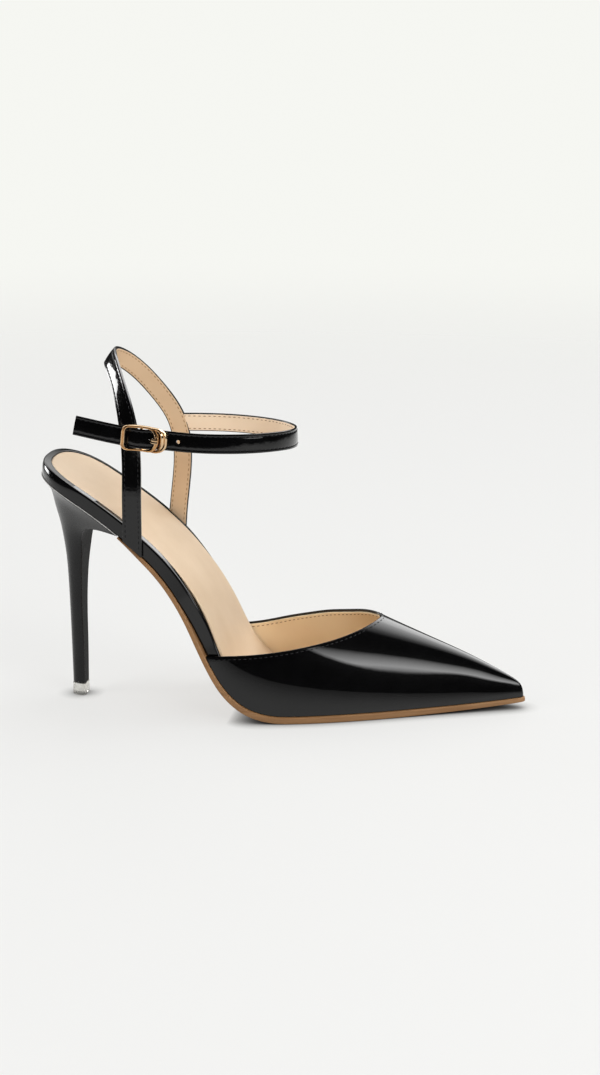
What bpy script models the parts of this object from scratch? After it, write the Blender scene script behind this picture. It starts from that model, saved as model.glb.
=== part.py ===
"""Pointed toe high heel, right shoe.

Lengths are in millimetres and are turned into metres when a mesh is made. The toe points to +X, the
outer side is -Y, +Z is up, and the origin is on the floor under the middle of the heel tip.
The sole pieces are flat patterns (station s along the sole, y across) bent over the bottom line of the
last, so a point on them is given by its station, its y and its height h above that line.
"""
import math

import bmesh
import bpy
import numpy as np

MM = 0.001
WELD = 0.00001
GAP = 0.3
OUTER = -1
INNER = 1
SHARP_ANGLE = 35.0
WIRE_SHARP_ANGLE = 50.0

# Bottom line of the last
LAST_LENGTH = 262.0
BACK_X = -16.0
TREAD_HEIGHT = 3.2
TREAD_STATION = 170.0
LINE_POINTS = 2400
LINE_EXTRA = 6.0
SLOPES = (  # station, slope in degrees
    (0, -22), (30, -33.5), (60, -41), (85, -56), (105, -64), (122, -59.5), (138, -39),
    (150, -15), (164, 0), (190, 0), (262, 4.5))

# Outline of the last's bottom
HEEL_END = 1.0
HEEL_RADIUS = 26.0
HEEL_FULLNESS = 2.5
NOSE_LENGTH = 1.8
TOE_SWING = 6.0
SWING_START = 150.0
HALF_WIDTHS = (  # station, outer, inner
    (0, 27.4, 28.2), (28, 28.6, 27.8), (62, 29.6, 29.6), (100, 32.8, 31.0), (145, 35.2, 37.4),
    (185, 26.4, 27.8), (222, 13.0, 17.0), (262, 1.6, 3.0))

# Steps along an outline
HEEL_STEPS = 9
SIDE_STEPS = 36
TOE_STEPS = 7
TOE_REACH = 22.0

# Footbed: a wrapped board, thick where it shows and thin inside the vamp
FOOTBED_THICKNESS = (  # station, thickness
    (0, 6.4), (60, 6.4), (100, 6.2), (130, 4.2), (190, 3.0), (262, 1.6))
FOOTBED_END = 248.0
FOOTBED_ROUNDING = 1.6
ROUNDING_SHARE = 0.6
ROUNDING_STEPS = 3
FOOTBED_INSET = (  # station, inset from the last's outline
    (0, 0), (86, 0), (112, 2.8), (262, 2.8))
FOOTBED_TUCK = (  # station, how far its lower edge is tucked in
    (0, 1.8), (26, 0.4), (50, 0), (262, 0))

# Insole: a thin sock on the footbed
INSOLE_INSET = 2.5
INSOLE_THICKNESS = 1.2
INSOLE_CHAMFER = 0.4
INSOLE_END = 236.0

# Outsole
OUTSOLE_BACK = 48.4
OUTSOLE_THICKNESS = (  # station, depth of its lower face under the last
    (48, 2.2), (110, 2.4), (160, 3.2), (194, 3.2), (262, 2.4))
OUTSOLE_OVERHANG = (  # station, overhang past the last's outline
    (48, 0.6), (110, 0.8), (150, 1.3), (200, 1.5), (262, 0.7))
OUTSOLE_CHAMFER = 0.5

# Vamp
WALL = 1.8
WALL_BULGE = 0.3
BULGE_SCALE = 27 / 4
WALL_LEAN = 1.0
LEAN_HEIGHT = 9.0
VAMP_BACK_X = 58.0
THROAT_LIMIT_X = 145.0
CREST = (  # x, crest y, crest z, fullness of the section
    (60, 0, 80.6, 2.2), (110, 0.5, 55.0, 2.1), (137.4, 1.5, 42.4, 1.9), (163.7, 3.6, 30.9, 1.75),
    (180, 4.8, 23.6, 1.75), (190.6, 5.6, 18.3, 1.8), (201.6, 6.0, 13.2, 2.0))
TOPLINE = (  # x, outer z, inner z
    (58, 31.6, 29.0), (74, 30.8, 28.6), (85, 29.6, 29.6), (92, 30.5, 31.2), (101.7, 32.0, 33.6),
    (111.5, 33.7, 37.1), (121.4, 35.8, 39.8), (131.7, 39.1, 42.0), (138.4, 42.0, 42.0), (150, 47.0, 42.0))
VAMP_ACROSS = 36
VAMP_ALONG = 26
VAMP_SPACING = 1.6

# Heel
SEAT_FRONT = 47.8
SEAT_INSET = 0.8
HEEL_SECTIONS = (  # share of the way down, back x, back z, front x, front z, half width
    (0.00, -13.8, 104.0, 22.4, 80.2, 28.0), (0.10, -10.6, 98.0, 13.5, 81.2, 22.0),
    (0.20, -9.2, 90.0, 7.0, 79.6, 16.0), (0.30, -7.6, 82.5, 4.9, 75.2, 12.0),
    (0.42, -6.0, 73.4, 4.2, 68.2, 9.2), (0.56, -4.7, 62.0, 3.4, 58.8, 7.2),
    (0.72, -3.9, 43.0, 2.9, 42.0, 5.6), (0.88, -3.4, 22.0, 3.1, 22.0, 4.7),
    (1.00, -3.1, 5.7, 3.1, 5.7, 4.1))
SEAT_BLEND = 0.34
SECTION_FULLNESS = 0.9
HEEL_RINGS = 22
HEEL_POINTS = 11
TIP_HEIGHT = 5.4
TIP_BACK = -3.3
TIP_FRONT = 3.3
TIP_HALF_WIDTH = 4.3
TIP_CHAMFER = 0.4

# Straps
STRAP_WIDTH = 8.4
LOOP_THICKNESS = 2.0
ANKLE_THICKNESS = 1.6
LOOP_OUTER_X = 32.0
LOOP_INNER_X = 39.6
OUTER_FOOT_RISE = 10.0
INNER_FOOT_RISE = 12.0
INNER_FOOT_SHIFT = 0.8
FOOT_SHARE = 0.08
LOOP_ROUTE = (  # x, y, z, facing (0 outer side, -90 back), lean upwards
    (32.1, -31.0, 98, 0, 0), (31.9, -30.9, 116, -3, 0), (30.3, -29.2, 130, -14, 3),
    (26.2, -22.8, 142.5, -36, 10), (20.6, -11.8, 152.2, -64, 26), (17.2, 0.0, 156.0, -90, 36),
    (20.2, 9.5, 153.0, -116, 30), (26.2, 18.2, 145.8, -142, 14), (33.6, 24.4, 135.4, -162, 6),
    (40.0, 28.0, 124.0, -174, 2), (42.6, 29.8, 112, -179, 0), (42.3, 30.6, 98, -180, 0))
ANKLE_ROUTE = (  # x, y, z
    (40.8, 28.5, 121.4), (52, 29.8, 121.4), (65, 29.8, 121.3), (78, 26.6, 121.1), (89, 19.6, 121.1),
    (96.6, 9.8, 121.3), (99.6, -1.0, 121.9), (98.6, -11.6, 122.6), (93.6, -21.4, 123.3),
    (84.5, -28.8, 123.6), (73, -32.8, 123.8), (60, -34.0, 124.1), (48.5, -33.2, 124.7),
    (43.5, -33.2, 125.0), (37.0, -34.7, 125.4), (30.5, -33.2, 126.1), (24, -33.0, 127.2),
    (16, -33.2, 128.8), (8, -32.8, 130.3))
LOOP_STEPS = 64
ANKLE_STEPS = 88

# Buckle
BUCKLE_CENTRE = (37.0, -35.6, 125.5)
BUCKLE_TILT = 5.0
FRAME_LENGTH = 17.4
FRAME_HEIGHT = 12.6
FRAME_CORNER = 4.2
FRAME_CORNER_STEPS = 5
FRAME_WIRE = 0.95
FRAME_BOW = 1.9
SECOND_END = 4.2
SECOND_WIRE = 0.75
BAR_RADIUS = 0.7
BAR_DEPTH = 2.9
BAR_STEP = 0.4
PRONG_RADIUS = 0.75
PRONG_HOLE_X = 4.6
PRONG_HOLE_RADIUS = 1.3
PRONG_HOLE_DEPTH = 8.0
PRONG_HOLE_INWARDS = 1.5
PRONG_HOLE_SIDES = 16
PRONG_CLEARANCE = 0.2
PRONG_OVERHANG = 0.9
PRONG_BEND = (  # along from the hole, inwards
    (-0.4, 3.2), (0, 0.9), (0.5, -0.6))
PRONG_LANDING = 1.6


def smooth_curve(rows, column):
    """A natural cubic spline through one column of a table."""
    x = np.array([row[0] for row in rows], float)
    y = np.array([row[column] for row in rows], float)
    step = np.diff(x)
    count = len(x)
    matrix = np.eye(count)
    right = np.zeros(count)
    for i in range(1, count - 1):
        matrix[i, i - 1:i + 2] = step[i - 1], 2 * (step[i - 1] + step[i]), step[i]
        right[i] = 6 * ((y[i + 1] - y[i]) / step[i] - (y[i] - y[i - 1]) / step[i - 1])
    bend = np.linalg.solve(matrix, right)

    def value(at):
        at = np.asarray(at, float)
        i = np.clip(np.searchsorted(x, at) - 1, 0, count - 2)
        a = (x[i + 1] - at) / step[i]
        b = (at - x[i]) / step[i]
        return (a * y[i] + b * y[i + 1]
                + ((a**3 - a) * bend[i] + (b**3 - b) * bend[i + 1]) * step[i]**2 / 6)
    return value


def even_curve(rows, column=1):
    """A curve through one column of a table that never swings past its rows."""
    x = np.array([row[0] for row in rows], float)
    y = np.array([row[column] for row in rows], float)
    step = np.diff(x)
    rate = np.diff(y) / step
    slope = np.zeros(len(x))
    slope[0] = rate[0]
    slope[-1] = rate[-1]
    for i in range(1, len(x) - 1):
        if rate[i - 1] * rate[i] > 0:
            w1 = 2 * step[i] + step[i - 1]
            w2 = step[i] + 2 * step[i - 1]
            slope[i] = (w1 + w2) / (w1 / rate[i - 1] + w2 / rate[i])

    def value(at):
        at = np.clip(np.asarray(at, float), x[0], x[-1])
        i = np.clip(np.searchsorted(x, at) - 1, 0, len(x) - 2)
        t = (at - x[i]) / step[i]
        return ((1 + 2 * t) * (1 - t)**2 * y[i] + t * (1 - t)**2 * step[i] * slope[i]
                + t**2 * (3 - 2 * t) * y[i + 1] + t**2 * (t - 1) * step[i] * slope[i + 1])
    return value


LINE_S = np.linspace(-LINE_EXTRA, LAST_LENGTH + LINE_EXTRA, LINE_POINTS)
LINE_ANGLE = np.radians(even_curve(SLOPES)(LINE_S))
LINE_STEP = LINE_S[1] - LINE_S[0]
LINE_X = np.cumsum(np.cos(LINE_ANGLE)) * LINE_STEP
LINE_X += BACK_X - np.interp(0.0, LINE_S, LINE_X)
LINE_Z = np.cumsum(np.sin(LINE_ANGLE)) * LINE_STEP
LINE_Z += TREAD_HEIGHT - np.interp(TREAD_STATION, LINE_S, LINE_Z)


def on_last(s, y, h):
    """The point at station s, across y, at height h above the last's bottom line."""
    angle = np.interp(s, LINE_S, LINE_ANGLE)
    x = np.interp(s, LINE_S, LINE_X) - math.sin(angle) * h
    z = np.interp(s, LINE_S, LINE_Z) + math.cos(angle) * h
    return (float(x), float(y), float(z))


def station_at(x):
    """The station where the bottom line passes x."""
    return float(np.interp(x, LINE_X, LINE_S))


HALF_WIDTH = {OUTER: smooth_curve(HALF_WIDTHS, 1), INNER: smooth_curve(HALF_WIDTHS, 2)}


def edge_y(s, side, margin=0.0, end=LAST_LENGTH):
    """The y of the outline at station s, moved out by margin."""
    heel = max(0.0, 1 - max(0.0, s - HEEL_END + margin) / (HEEL_RADIUS + margin))
    toe = max(0.0, end + margin - s)
    rounding = (1 - heel**HEEL_FULLNESS)**(1 / HEEL_FULLNESS) * math.sqrt(toe / (toe + NOSE_LENGTH))
    swing = TOE_SWING * max(0.0, (s - SWING_START) / (LAST_LENGTH - SWING_START))**2
    return swing + side * (float(HALF_WIDTH[side](s)) + margin) * rounding


def outline(margin, end=LAST_LENGTH, back=None):
    """Stations and y of both edges, from the heel end (or a straight cut at back) to the toe end."""
    first = HEEL_END + HEEL_RADIUS
    if back is None:
        start = HEEL_END - margin(0)
        turns = [math.radians(90 * k / HEEL_STEPS) for k in range(HEEL_STEPS)]
        stations = [start + (first - start) * (1 - math.cos(turn)) for turn in turns]
    else:
        first = back
        stations = []
    toe_start = end - TOE_REACH
    toe_end = end + margin(end)
    stations += [first + (toe_start - first) * k / SIDE_STEPS for k in range(SIDE_STEPS)]
    stations += [toe_start + (toe_end - toe_start) * (1 - (1 - k / TOE_STEPS)**2)
                 for k in range(TOE_STEPS + 1)]
    return [(s, edge_y(s, OUTER, margin(s), end), edge_y(s, INNER, margin(s), end)) for s in stations]


PARTS = bpy.data.collections.new("pointed_toe_high_heel")
CUTTERS = bpy.data.collections.new("cutters")


def clear_scene():
    for thing in list(bpy.data.objects):
        bpy.data.objects.remove(thing)
    for collection in (PARTS, CUTTERS):
        bpy.context.scene.collection.children.link(collection)


def material(name, colour, roughness, metallic=0.0):
    finish = bpy.data.materials.new(name)
    finish.use_nodes = True
    shader = finish.node_tree.nodes["Principled BSDF"]
    shader.inputs["Base Color"].default_value = (*colour, 1.0)
    shader.inputs["Roughness"].default_value = roughness
    shader.inputs["Metallic"].default_value = metallic
    return finish


def add_mesh(name, points, faces, finish=None, collection=None):
    """A mesh object from points in millimetres, with doubles welded and faces turned out."""
    shape = bmesh.new()
    corners = [shape.verts.new([c * MM for c in point]) for point in points]
    for face in faces:
        shape.faces.new([corners[i] for i in face])
    bmesh.ops.remove_doubles(shape, verts=shape.verts, dist=WELD)
    bmesh.ops.recalc_face_normals(shape, faces=shape.faces)
    mesh = bpy.data.meshes.new(name)
    shape.to_mesh(mesh)
    shape.free()
    mesh.shade_smooth()
    mesh.set_sharp_from_angle(angle=math.radians(SHARP_ANGLE))
    thing = bpy.data.objects.new(name, mesh)
    (collection or PARTS).objects.link(thing)
    if finish:
        mesh.materials.append(finish)
    return thing


def loft(rings, caps=True):
    """Points and faces of a tube through rings of equal length, closed by flat ends."""
    size = len(rings[0])
    points = [point for ring in rings for point in ring]
    faces = []
    for r in range(len(rings) - 1):
        for k in range(size):
            n = (k + 1) % size
            faces.append((r * size + k, r * size + n, (r + 1) * size + n, (r + 1) * size + k))
    if caps:
        last = (len(rings) - 1) * size
        faces.append(tuple(range(size)))
        faces.append(tuple(last + k for k in reversed(range(size))))
    return points, faces


def strip_cap(first, pairs):
    """Faces across a ring that lists one side forwards and the other side backwards."""
    last = first + 2 * pairs - 1
    return [(first + k, first + k + 1, last - k - 1, last - k) for k in range(pairs - 1)]


def slab(name, levels, finish, end=LAST_LENGTH, back=None):
    """A sole piece: the outline at each level (margin and height by station), joined and capped."""
    rings = []
    for margin, height in levels:
        edges = outline(margin, end, back)
        outer = [on_last(s, y, height(s)) for s, y, _ in edges]
        inner = [on_last(s, y, height(s)) for s, _, y in edges]
        rings.append(outer + inner[::-1])
    points, faces = loft(rings, caps=False)
    pairs = len(rings[0]) // 2
    faces += strip_cap(0, pairs)
    faces += strip_cap((len(rings) - 1) * 2 * pairs, pairs)
    return add_mesh(name, points, [face for face in faces if not flat_face(points, face)], finish)


def flat_face(points, face):
    """True where a face has shrunk to a line, at the tips of an outline."""
    kinds = {tuple(round(c, 3) for c in points[i]) for i in face}
    return len(kinds) < 3


def make_footbed(finish):
    thickness = even_curve(FOOTBED_THICKNESS)
    inset = even_curve(FOOTBED_INSET)
    r = FOOTBED_ROUNDING
    turns = [math.radians(90 * k / ROUNDING_STEPS) for k in range(ROUNDING_STEPS + 1)]
    tuck = even_curve(FOOTBED_TUCK)
    levels = [(lambda s: -inset(s) - tuck(s), lambda s: 0.0)]
    for turn in turns:
        drop = 1 - math.sin(turn)
        pull = 1 - math.cos(turn)
        levels.append((lambda s, pull=pull: -inset(s) - pull * r,
                       lambda s, drop=drop: thickness(s) - drop * min(r, ROUNDING_SHARE * thickness(s))))
    return slab("footbed", levels, finish, end=FOOTBED_END)


def make_insole(finish):
    thickness = even_curve(FOOTBED_THICKNESS)
    inset = even_curve(FOOTBED_INSET)
    low = GAP
    top = GAP + INSOLE_THICKNESS

    def margin(s):
        return -inset(s) - INSOLE_INSET
    levels = [(margin, lambda s: thickness(s) + low),
              (margin, lambda s: thickness(s) + top - INSOLE_CHAMFER),
              (lambda s: margin(s) - INSOLE_CHAMFER, lambda s: thickness(s) + top)]
    return slab("insole", levels, finish, end=INSOLE_END)


def make_outsole(finish):
    depth = even_curve(OUTSOLE_THICKNESS)
    overhang = even_curve(OUTSOLE_OVERHANG)
    levels = [(lambda s: overhang(s) - OUTSOLE_CHAMFER, lambda s: -depth(s)),
              (overhang, lambda s: OUTSOLE_CHAMFER - depth(s)),
              (overhang, lambda s: -GAP)]
    return slab("outsole", levels, finish, back=OUTSOLE_BACK)


CREST_Y = smooth_curve(CREST, 1)
CREST_Z = smooth_curve(CREST, 2)
FULLNESS = smooth_curve(CREST, 3)
TOPLINE_Z = {OUTER: smooth_curve(TOPLINE, 1), INNER: smooth_curve(TOPLINE, 2)}
TOE_X = float(np.interp(LAST_LENGTH, LINE_S, LINE_X))


def vamp_point(x, t):
    """The vamp's outer face in the upright plane at x; t runs from -1 (outer) to 1 (inner)."""
    s = station_at(x)
    left = edge_y(s, OUTER)
    right = edge_y(s, INNER)
    across = math.sin(math.pi * t / 2)
    low = float(np.interp(s, LINE_S, LINE_Z))
    nose = math.sqrt(max(0.0, TOE_X - x) / (max(0.0, TOE_X - x) + NOSE_LENGTH))
    rise = max(0.0, 1 - across**2) ** (1 / float(FULLNESS(x)))
    middle = (left + right) / 2
    lean = (float(CREST_Y(x)) - middle) * (1 - across**2)
    bulge = WALL_BULGE * BULGE_SCALE * nose * across * rise * (1 - rise)**2
    height = (float(CREST_Z(x)) - low) * nose * rise
    draw_in = WALL_LEAN * nose * across * (1 - math.exp(-height / LEAN_HEIGHT))
    y = middle + (right - left) / 2 * across + lean + bulge - draw_in
    return (x, y, low + height)


def topline_x(t):
    """The x where the vamp, at t, reaches its top edge."""
    side = OUTER if t < 0 else INNER
    low = VAMP_BACK_X
    high = THROAT_LIMIT_X
    for _ in range(50):
        x = (low + high) / 2
        if vamp_point(x, t)[2] > float(TOPLINE_Z[side](x)):
            low = x
        else:
            high = x
    return (low + high) / 2


def make_vamp(finish):
    """The toe part of the upper: a sheet from its top edge to the toe, with a real wall."""
    points = []
    for i in range(VAMP_ACROSS + 1):
        t = -1 + 2 * i / VAMP_ACROSS
        start = topline_x(t)
        for j in range(VAMP_ALONG + 1):
            left = (1 - j / VAMP_ALONG)**VAMP_SPACING
            points.append(vamp_point(TOE_X - (TOE_X - start) * left, t))
    row = VAMP_ALONG + 1
    faces = [(i * row + j, (i + 1) * row + j, (i + 1) * row + j + 1, i * row + j + 1)
             for i in range(VAMP_ACROSS) for j in range(VAMP_ALONG)]
    sheet = add_mesh("vamp", points, [face for face in faces if not flat_face(points, face)], finish)
    wall = sheet.modifiers.new("wall", "SOLIDIFY")
    wall.thickness = WALL * MM
    wall.offset = -1.0
    return sheet


def d_ring(back, front, half_width):
    """A section with a flat front and a round back, listed as one side forwards, the other backwards."""
    side = []
    for k in range(HEEL_POINTS):
        turn = math.radians(90 * k / HEEL_POINTS)
        share = math.sin(turn)
        y = half_width * math.cos(turn)**SECTION_FULLNESS
        side.append((front[0] + (back[0] - front[0]) * share, y, front[1] + (back[1] - front[1]) * share))
    return ([(x, -y, z) for x, y, z in side] + [(back[0], 0.0, back[1])]
            + [(x, y, z) for x, y, z in side[::-1]])


def seat_ring():
    """The heel's top edge, just under the footbed and just inside its lower edge."""
    tuck = even_curve(FOOTBED_TUCK)
    start = HEEL_END + float(tuck(0)) + SEAT_INSET
    turns = [math.radians(90 * k / HEEL_POINTS) for k in range(HEEL_POINTS + 1)]
    stations = [SEAT_FRONT + (start - SEAT_FRONT) * math.sin(turn) for turn in turns]

    def edge(s, side):
        return on_last(s, edge_y(s, side, -float(tuck(s)) - SEAT_INSET), -GAP)
    middle = on_last(start, 0.0, -GAP)
    outer = [edge(s, OUTER) for s in stations[:-1]]
    inner = [edge(s, INNER) for s in stations[:-1]]
    return outer + [middle] + inner[::-1]


def make_heel(finish):
    columns = [smooth_curve(HEEL_SECTIONS, k) for k in range(1, 6)]
    seat = np.array(seat_ring())
    plain = None
    rings = []
    for r in range(HEEL_RINGS + 1):
        share = r / HEEL_RINGS
        back_x, back_z, front_x, front_z, half = (float(column(share)) for column in columns)
        ring = np.array(d_ring((back_x, back_z), (front_x, front_z), half))
        if plain is None:
            plain = ring
        fade = max(0.0, 1 - share / SEAT_BLEND)**2
        rings.append([tuple(p) for p in ring + (seat - plain) * fade])
    points, faces = loft(rings, caps=False)
    size = len(rings[0])
    last = size * HEEL_RINGS
    faces += [(k, k + 1, size - 2 - k, size - 1 - k) for k in range(size // 2 - 1)]
    middle = size // 2
    faces.append((middle - 1, middle, middle + 1))
    faces.append(tuple(last + k for k in range(size)))
    return add_mesh("heel", points, faces, finish)


def make_heel_tip(finish):
    rings = []
    for z, inset in ((0.0, TIP_CHAMFER), (TIP_CHAMFER, 0.0), (TIP_HEIGHT, 0.0)):
        rings.append(d_ring((TIP_BACK + inset, z), (TIP_FRONT - inset, z), TIP_HALF_WIDTH - inset))
    points, faces = loft(rings)
    return add_mesh("heel_tip", points, faces, finish)


def route_curve(rows, steps):
    """Even steps along a smooth route through the rows, all columns."""
    rows = np.array(rows, float)
    chord = np.r_[0, np.cumsum(np.linalg.norm(np.diff(rows[:, :3], axis=0), axis=1))]
    table = [(c, *row) for c, row in zip(chord, rows)]
    at = np.linspace(0, chord[-1], steps + 1)
    return np.stack([smooth_curve(table, k + 1)(at) for k in range(rows.shape[1])], 1)


def ribbon(centres, normals, thickness, slants=None):
    """Rings of a flat strap along centres; a slant turns a ring's width to follow the sole."""
    along = np.gradient(centres, axis=0)
    along /= np.linalg.norm(along, axis=1)[:, None]
    rings = []
    for k, (centre, tangent, normal) in enumerate(zip(centres, along, normals)):
        normal = normal - tangent * np.dot(normal, tangent)
        normal /= np.linalg.norm(normal)
        width = np.cross(tangent, normal)
        if slants is not None:
            width = width + tangent * slants[k]
        half = width * STRAP_WIDTH / 2
        out = normal * thickness / 2
        rings.append([tuple(centre + a * half + b * out) for a, b in ((-1, -1), (1, -1), (1, 1), (-1, 1))])
    return rings


def strap_foot(x, side):
    """A strap's end beside the footbed, resting just above the outsole, as a row of the loop's route."""
    s = station_at(x)
    y = edge_y(s, side) + side * (GAP + LOOP_THICKNESS / 2)
    return (x, y, float(np.interp(s, LINE_S, LINE_Z)) + GAP, 0 if side == OUTER else -180, 0)


def make_loop():
    """The heel strap: up the outer side, round the back and down the inner side."""
    outer_foot = strap_foot(LOOP_OUTER_X, OUTER)
    inner_foot = strap_foot(LOOP_INNER_X, INNER)
    rows = [outer_foot, (*outer_foot[:2], outer_foot[2] + OUTER_FOOT_RISE, *outer_foot[3:]), *LOOP_ROUTE,
            (inner_foot[0] + INNER_FOOT_SHIFT, inner_foot[1], inner_foot[2] + INNER_FOOT_RISE,
             *inner_foot[3:]), inner_foot]
    path = route_curve(rows, LOOP_STEPS)
    facing = np.radians(path[:, 3])
    lean = np.radians(path[:, 4])
    normals = np.stack([np.sin(facing) * np.cos(lean), -np.cos(facing) * np.cos(lean), np.sin(lean)], 1)
    reach = np.linspace(0, 1, LOOP_STEPS + 1)
    slopes = [math.tan(np.interp(station_at(x), LINE_S, LINE_ANGLE)) for x in (LOOP_OUTER_X, LOOP_INNER_X)]
    slants = (slopes[0] * np.clip(1 - reach / FOOT_SHARE, 0, 1)
              - slopes[1] * np.clip(1 - (1 - reach) / FOOT_SHARE, 0, 1))
    return ribbon(path[:, :3], normals, LOOP_THICKNESS, slants)


def make_straps(finish):
    """The heel strap and the ankle strap, sewn into one at the inner side."""
    points, faces = loft(make_loop())
    straps = add_mesh("straps", points, faces, finish)
    path = route_curve(ANKLE_ROUTE, ANKLE_STEPS)
    along = np.gradient(path, axis=0)
    normals = np.stack([-along[:, 1], along[:, 0], np.zeros(len(path))], 1)
    points, faces = loft(ribbon(path, normals, ANKLE_THICKNESS))
    ankle = add_mesh("ankle_strap", points, faces, collection=CUTTERS)
    hide(ankle)
    add_boolean(straps, ankle, "UNION")
    bpy.ops.mesh.primitive_cylinder_add(vertices=PRONG_HOLE_SIDES, radius=PRONG_HOLE_RADIUS * MM,
                                        depth=PRONG_HOLE_DEPTH * MM)
    hole = bpy.context.object
    hole.name = "prong_hole"
    hole.rotation_euler = (math.pi / 2, 0, 0)
    hole.location = [c * MM for c in buckle_point(PRONG_HOLE_X, 0, PRONG_HOLE_INWARDS)]
    move_to(hole, CUTTERS)
    hide(hole)
    add_boolean(straps, hole, "DIFFERENCE")
    return straps


def hide(thing):
    thing.hide_render = True
    thing.display_type = "WIRE"


def move_to(thing, collection):
    for old in list(thing.users_collection):
        old.objects.unlink(thing)
    collection.objects.link(thing)


def add_boolean(thing, other, operation):
    cut = thing.modifiers.new(operation.lower(), "BOOLEAN")
    cut.operation = operation
    cut.solver = "EXACT"
    cut.object = other


def buckle_point(along, up, inwards):
    """A point in the buckle's own plane: along the strap, up, and in towards the ankle."""
    tilt = math.radians(BUCKLE_TILT)
    x = BUCKLE_CENTRE[0] + along * math.cos(tilt) + up * math.sin(tilt)
    z = BUCKLE_CENTRE[2] - along * math.sin(tilt) + up * math.cos(tilt)
    return (x, BUCKLE_CENTRE[1] + inwards, z)


def wire(name, path, radius, closed, collection=None, finish=None):
    """A round wire along a path, as a mesh with welded ends."""
    curve = bpy.data.curves.new(name, "CURVE")
    curve.dimensions = "3D"
    curve.bevel_depth = radius * MM
    curve.bevel_resolution = 1
    curve.use_fill_caps = True
    line = curve.splines.new("POLY")
    line.points.add(len(path) - 1)
    for point, place in zip(line.points, path):
        point.co = (*[c * MM for c in place], 1.0)
    line.use_cyclic_u = closed
    guide = bpy.data.objects.new(name, curve)
    PARTS.objects.link(guide)
    ready = guide.evaluated_get(bpy.context.evaluated_depsgraph_get())
    mesh = bpy.data.meshes.new_from_object(ready)
    bpy.data.objects.remove(guide)
    shape = bmesh.new()
    shape.from_mesh(mesh)
    bmesh.ops.remove_doubles(shape, verts=shape.verts, dist=WELD)
    bmesh.ops.recalc_face_normals(shape, faces=shape.faces)
    shape.to_mesh(mesh)
    shape.free()
    mesh.shade_smooth()
    mesh.set_sharp_from_angle(angle=math.radians(WIRE_SHARP_ANGLE))
    mesh.materials.clear()
    if finish:
        mesh.materials.append(finish)
    thing = bpy.data.objects.new(name, mesh)
    (collection or PARTS).objects.link(thing)
    return thing


def frame_bow(along):
    """How far the frame's long sides dip in towards the bar."""
    half = FRAME_LENGTH / 2
    return FRAME_BOW * max(0.0, 1 - (along / half)**2)**2


def corner(along, up, start):
    """A quarter turn of wire around a corner's centre, from a start angle."""
    turns = [math.radians(start + 90 * k / FRAME_CORNER_STEPS) for k in range(FRAME_CORNER_STEPS + 1)]
    return [(along + FRAME_CORNER * math.cos(turn), up + FRAME_CORNER * math.sin(turn)) for turn in turns]


def make_buckle_frame(finish):
    """A rounded frame that dips to its middle bar, with a second end past its front end."""
    half_length = FRAME_LENGTH / 2 - FRAME_WIRE
    half_height = FRAME_HEIGHT / 2 - FRAME_WIRE
    flat = half_height - FRAME_CORNER
    sides = half_length - FRAME_CORNER
    along_side = (0.5, 0.0, -0.5)
    path = corner(sides, flat, 0)
    path += [(share * sides, half_height) for share in along_side]
    path += corner(-sides, flat, 90) + corner(-sides, -flat, 180)
    path += [(-share * sides, -half_height) for share in along_side]
    path += corner(sides, -flat, 270)
    frame = wire("buckle_frame", [buckle_point(a, u, frame_bow(a)) for a, u in path], FRAME_WIRE, True,
                 finish=finish)
    shift = sides + SECOND_END
    second = [(sides, -half_height), *corner(shift, -flat, -90), *corner(shift, flat, 0),
              (sides, half_height)]
    end = wire("second_end", [buckle_point(a, u, frame_bow(min(a, half_length))) for a, u in second],
               SECOND_WIRE, False, CUTTERS)
    hide(end)
    add_boolean(frame, end, "UNION")
    bar_route = [(0, half_height, FRAME_BOW), (0, half_height - BAR_STEP, BAR_DEPTH),
                 (0, BAR_STEP - half_height, BAR_DEPTH), (0, -half_height, FRAME_BOW)]
    bar = wire("middle_bar", [buckle_point(*point) for point in bar_route], BAR_RADIUS, False, CUTTERS)
    hide(bar)
    add_boolean(frame, bar, "UNION")
    return frame


def make_buckle_prong(finish):
    """The prong: out of its hole in the strap and along to rest on the frame's front end."""
    half_length = FRAME_LENGTH / 2 - FRAME_WIRE
    rest = -FRAME_WIRE - PRONG_RADIUS - PRONG_CLEARANCE
    path = [(PRONG_HOLE_X + along, 0, inwards) for along, inwards in PRONG_BEND]
    path += [(PRONG_HOLE_X + PRONG_LANDING, 0, rest), (half_length + PRONG_OVERHANG, 0, rest)]
    return wire("buckle_prong", [buckle_point(*point) for point in path], PRONG_RADIUS, False, finish=finish)


def main():
    clear_scene()
    patent = material("black_patent", (0.012, 0.012, 0.014), 0.08)
    heel_black = material("black_heel", (0.02, 0.02, 0.022), 0.22)
    beige = material("beige_sock", (0.78, 0.60, 0.40), 0.55)
    tan = material("tan_outsole", (0.38, 0.19, 0.08), 0.5)
    clear = material("whitish_tip", (0.80, 0.80, 0.76), 0.25)
    gold = material("gold_metal", (0.83, 0.62, 0.36), 0.15, 1.0)
    shoe = bpy.data.objects.new("shoe", None)
    PARTS.objects.link(shoe)
    pieces = [make_footbed(patent), make_insole(beige), make_outsole(tan), make_vamp(patent),
              make_heel(heel_black), make_heel_tip(clear), make_straps(patent),
              make_buckle_frame(gold), make_buckle_prong(gold)]
    for piece in pieces:
        piece.parent = shoe


main()
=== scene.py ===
# %% [markdown]
# # A pointed toe high heel in black patent leather
# The shoe is a right shoe that stands on its heel tip and the ball of its sole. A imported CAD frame
# already holds its solids at the right size and place. This lesson dresses that frame: every soft or
# shiny piece is built again with many more faces, because patent leather mirrors the studio and a
# coarse mesh would show in the reflections.

# %% Load the frame
import math

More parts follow.
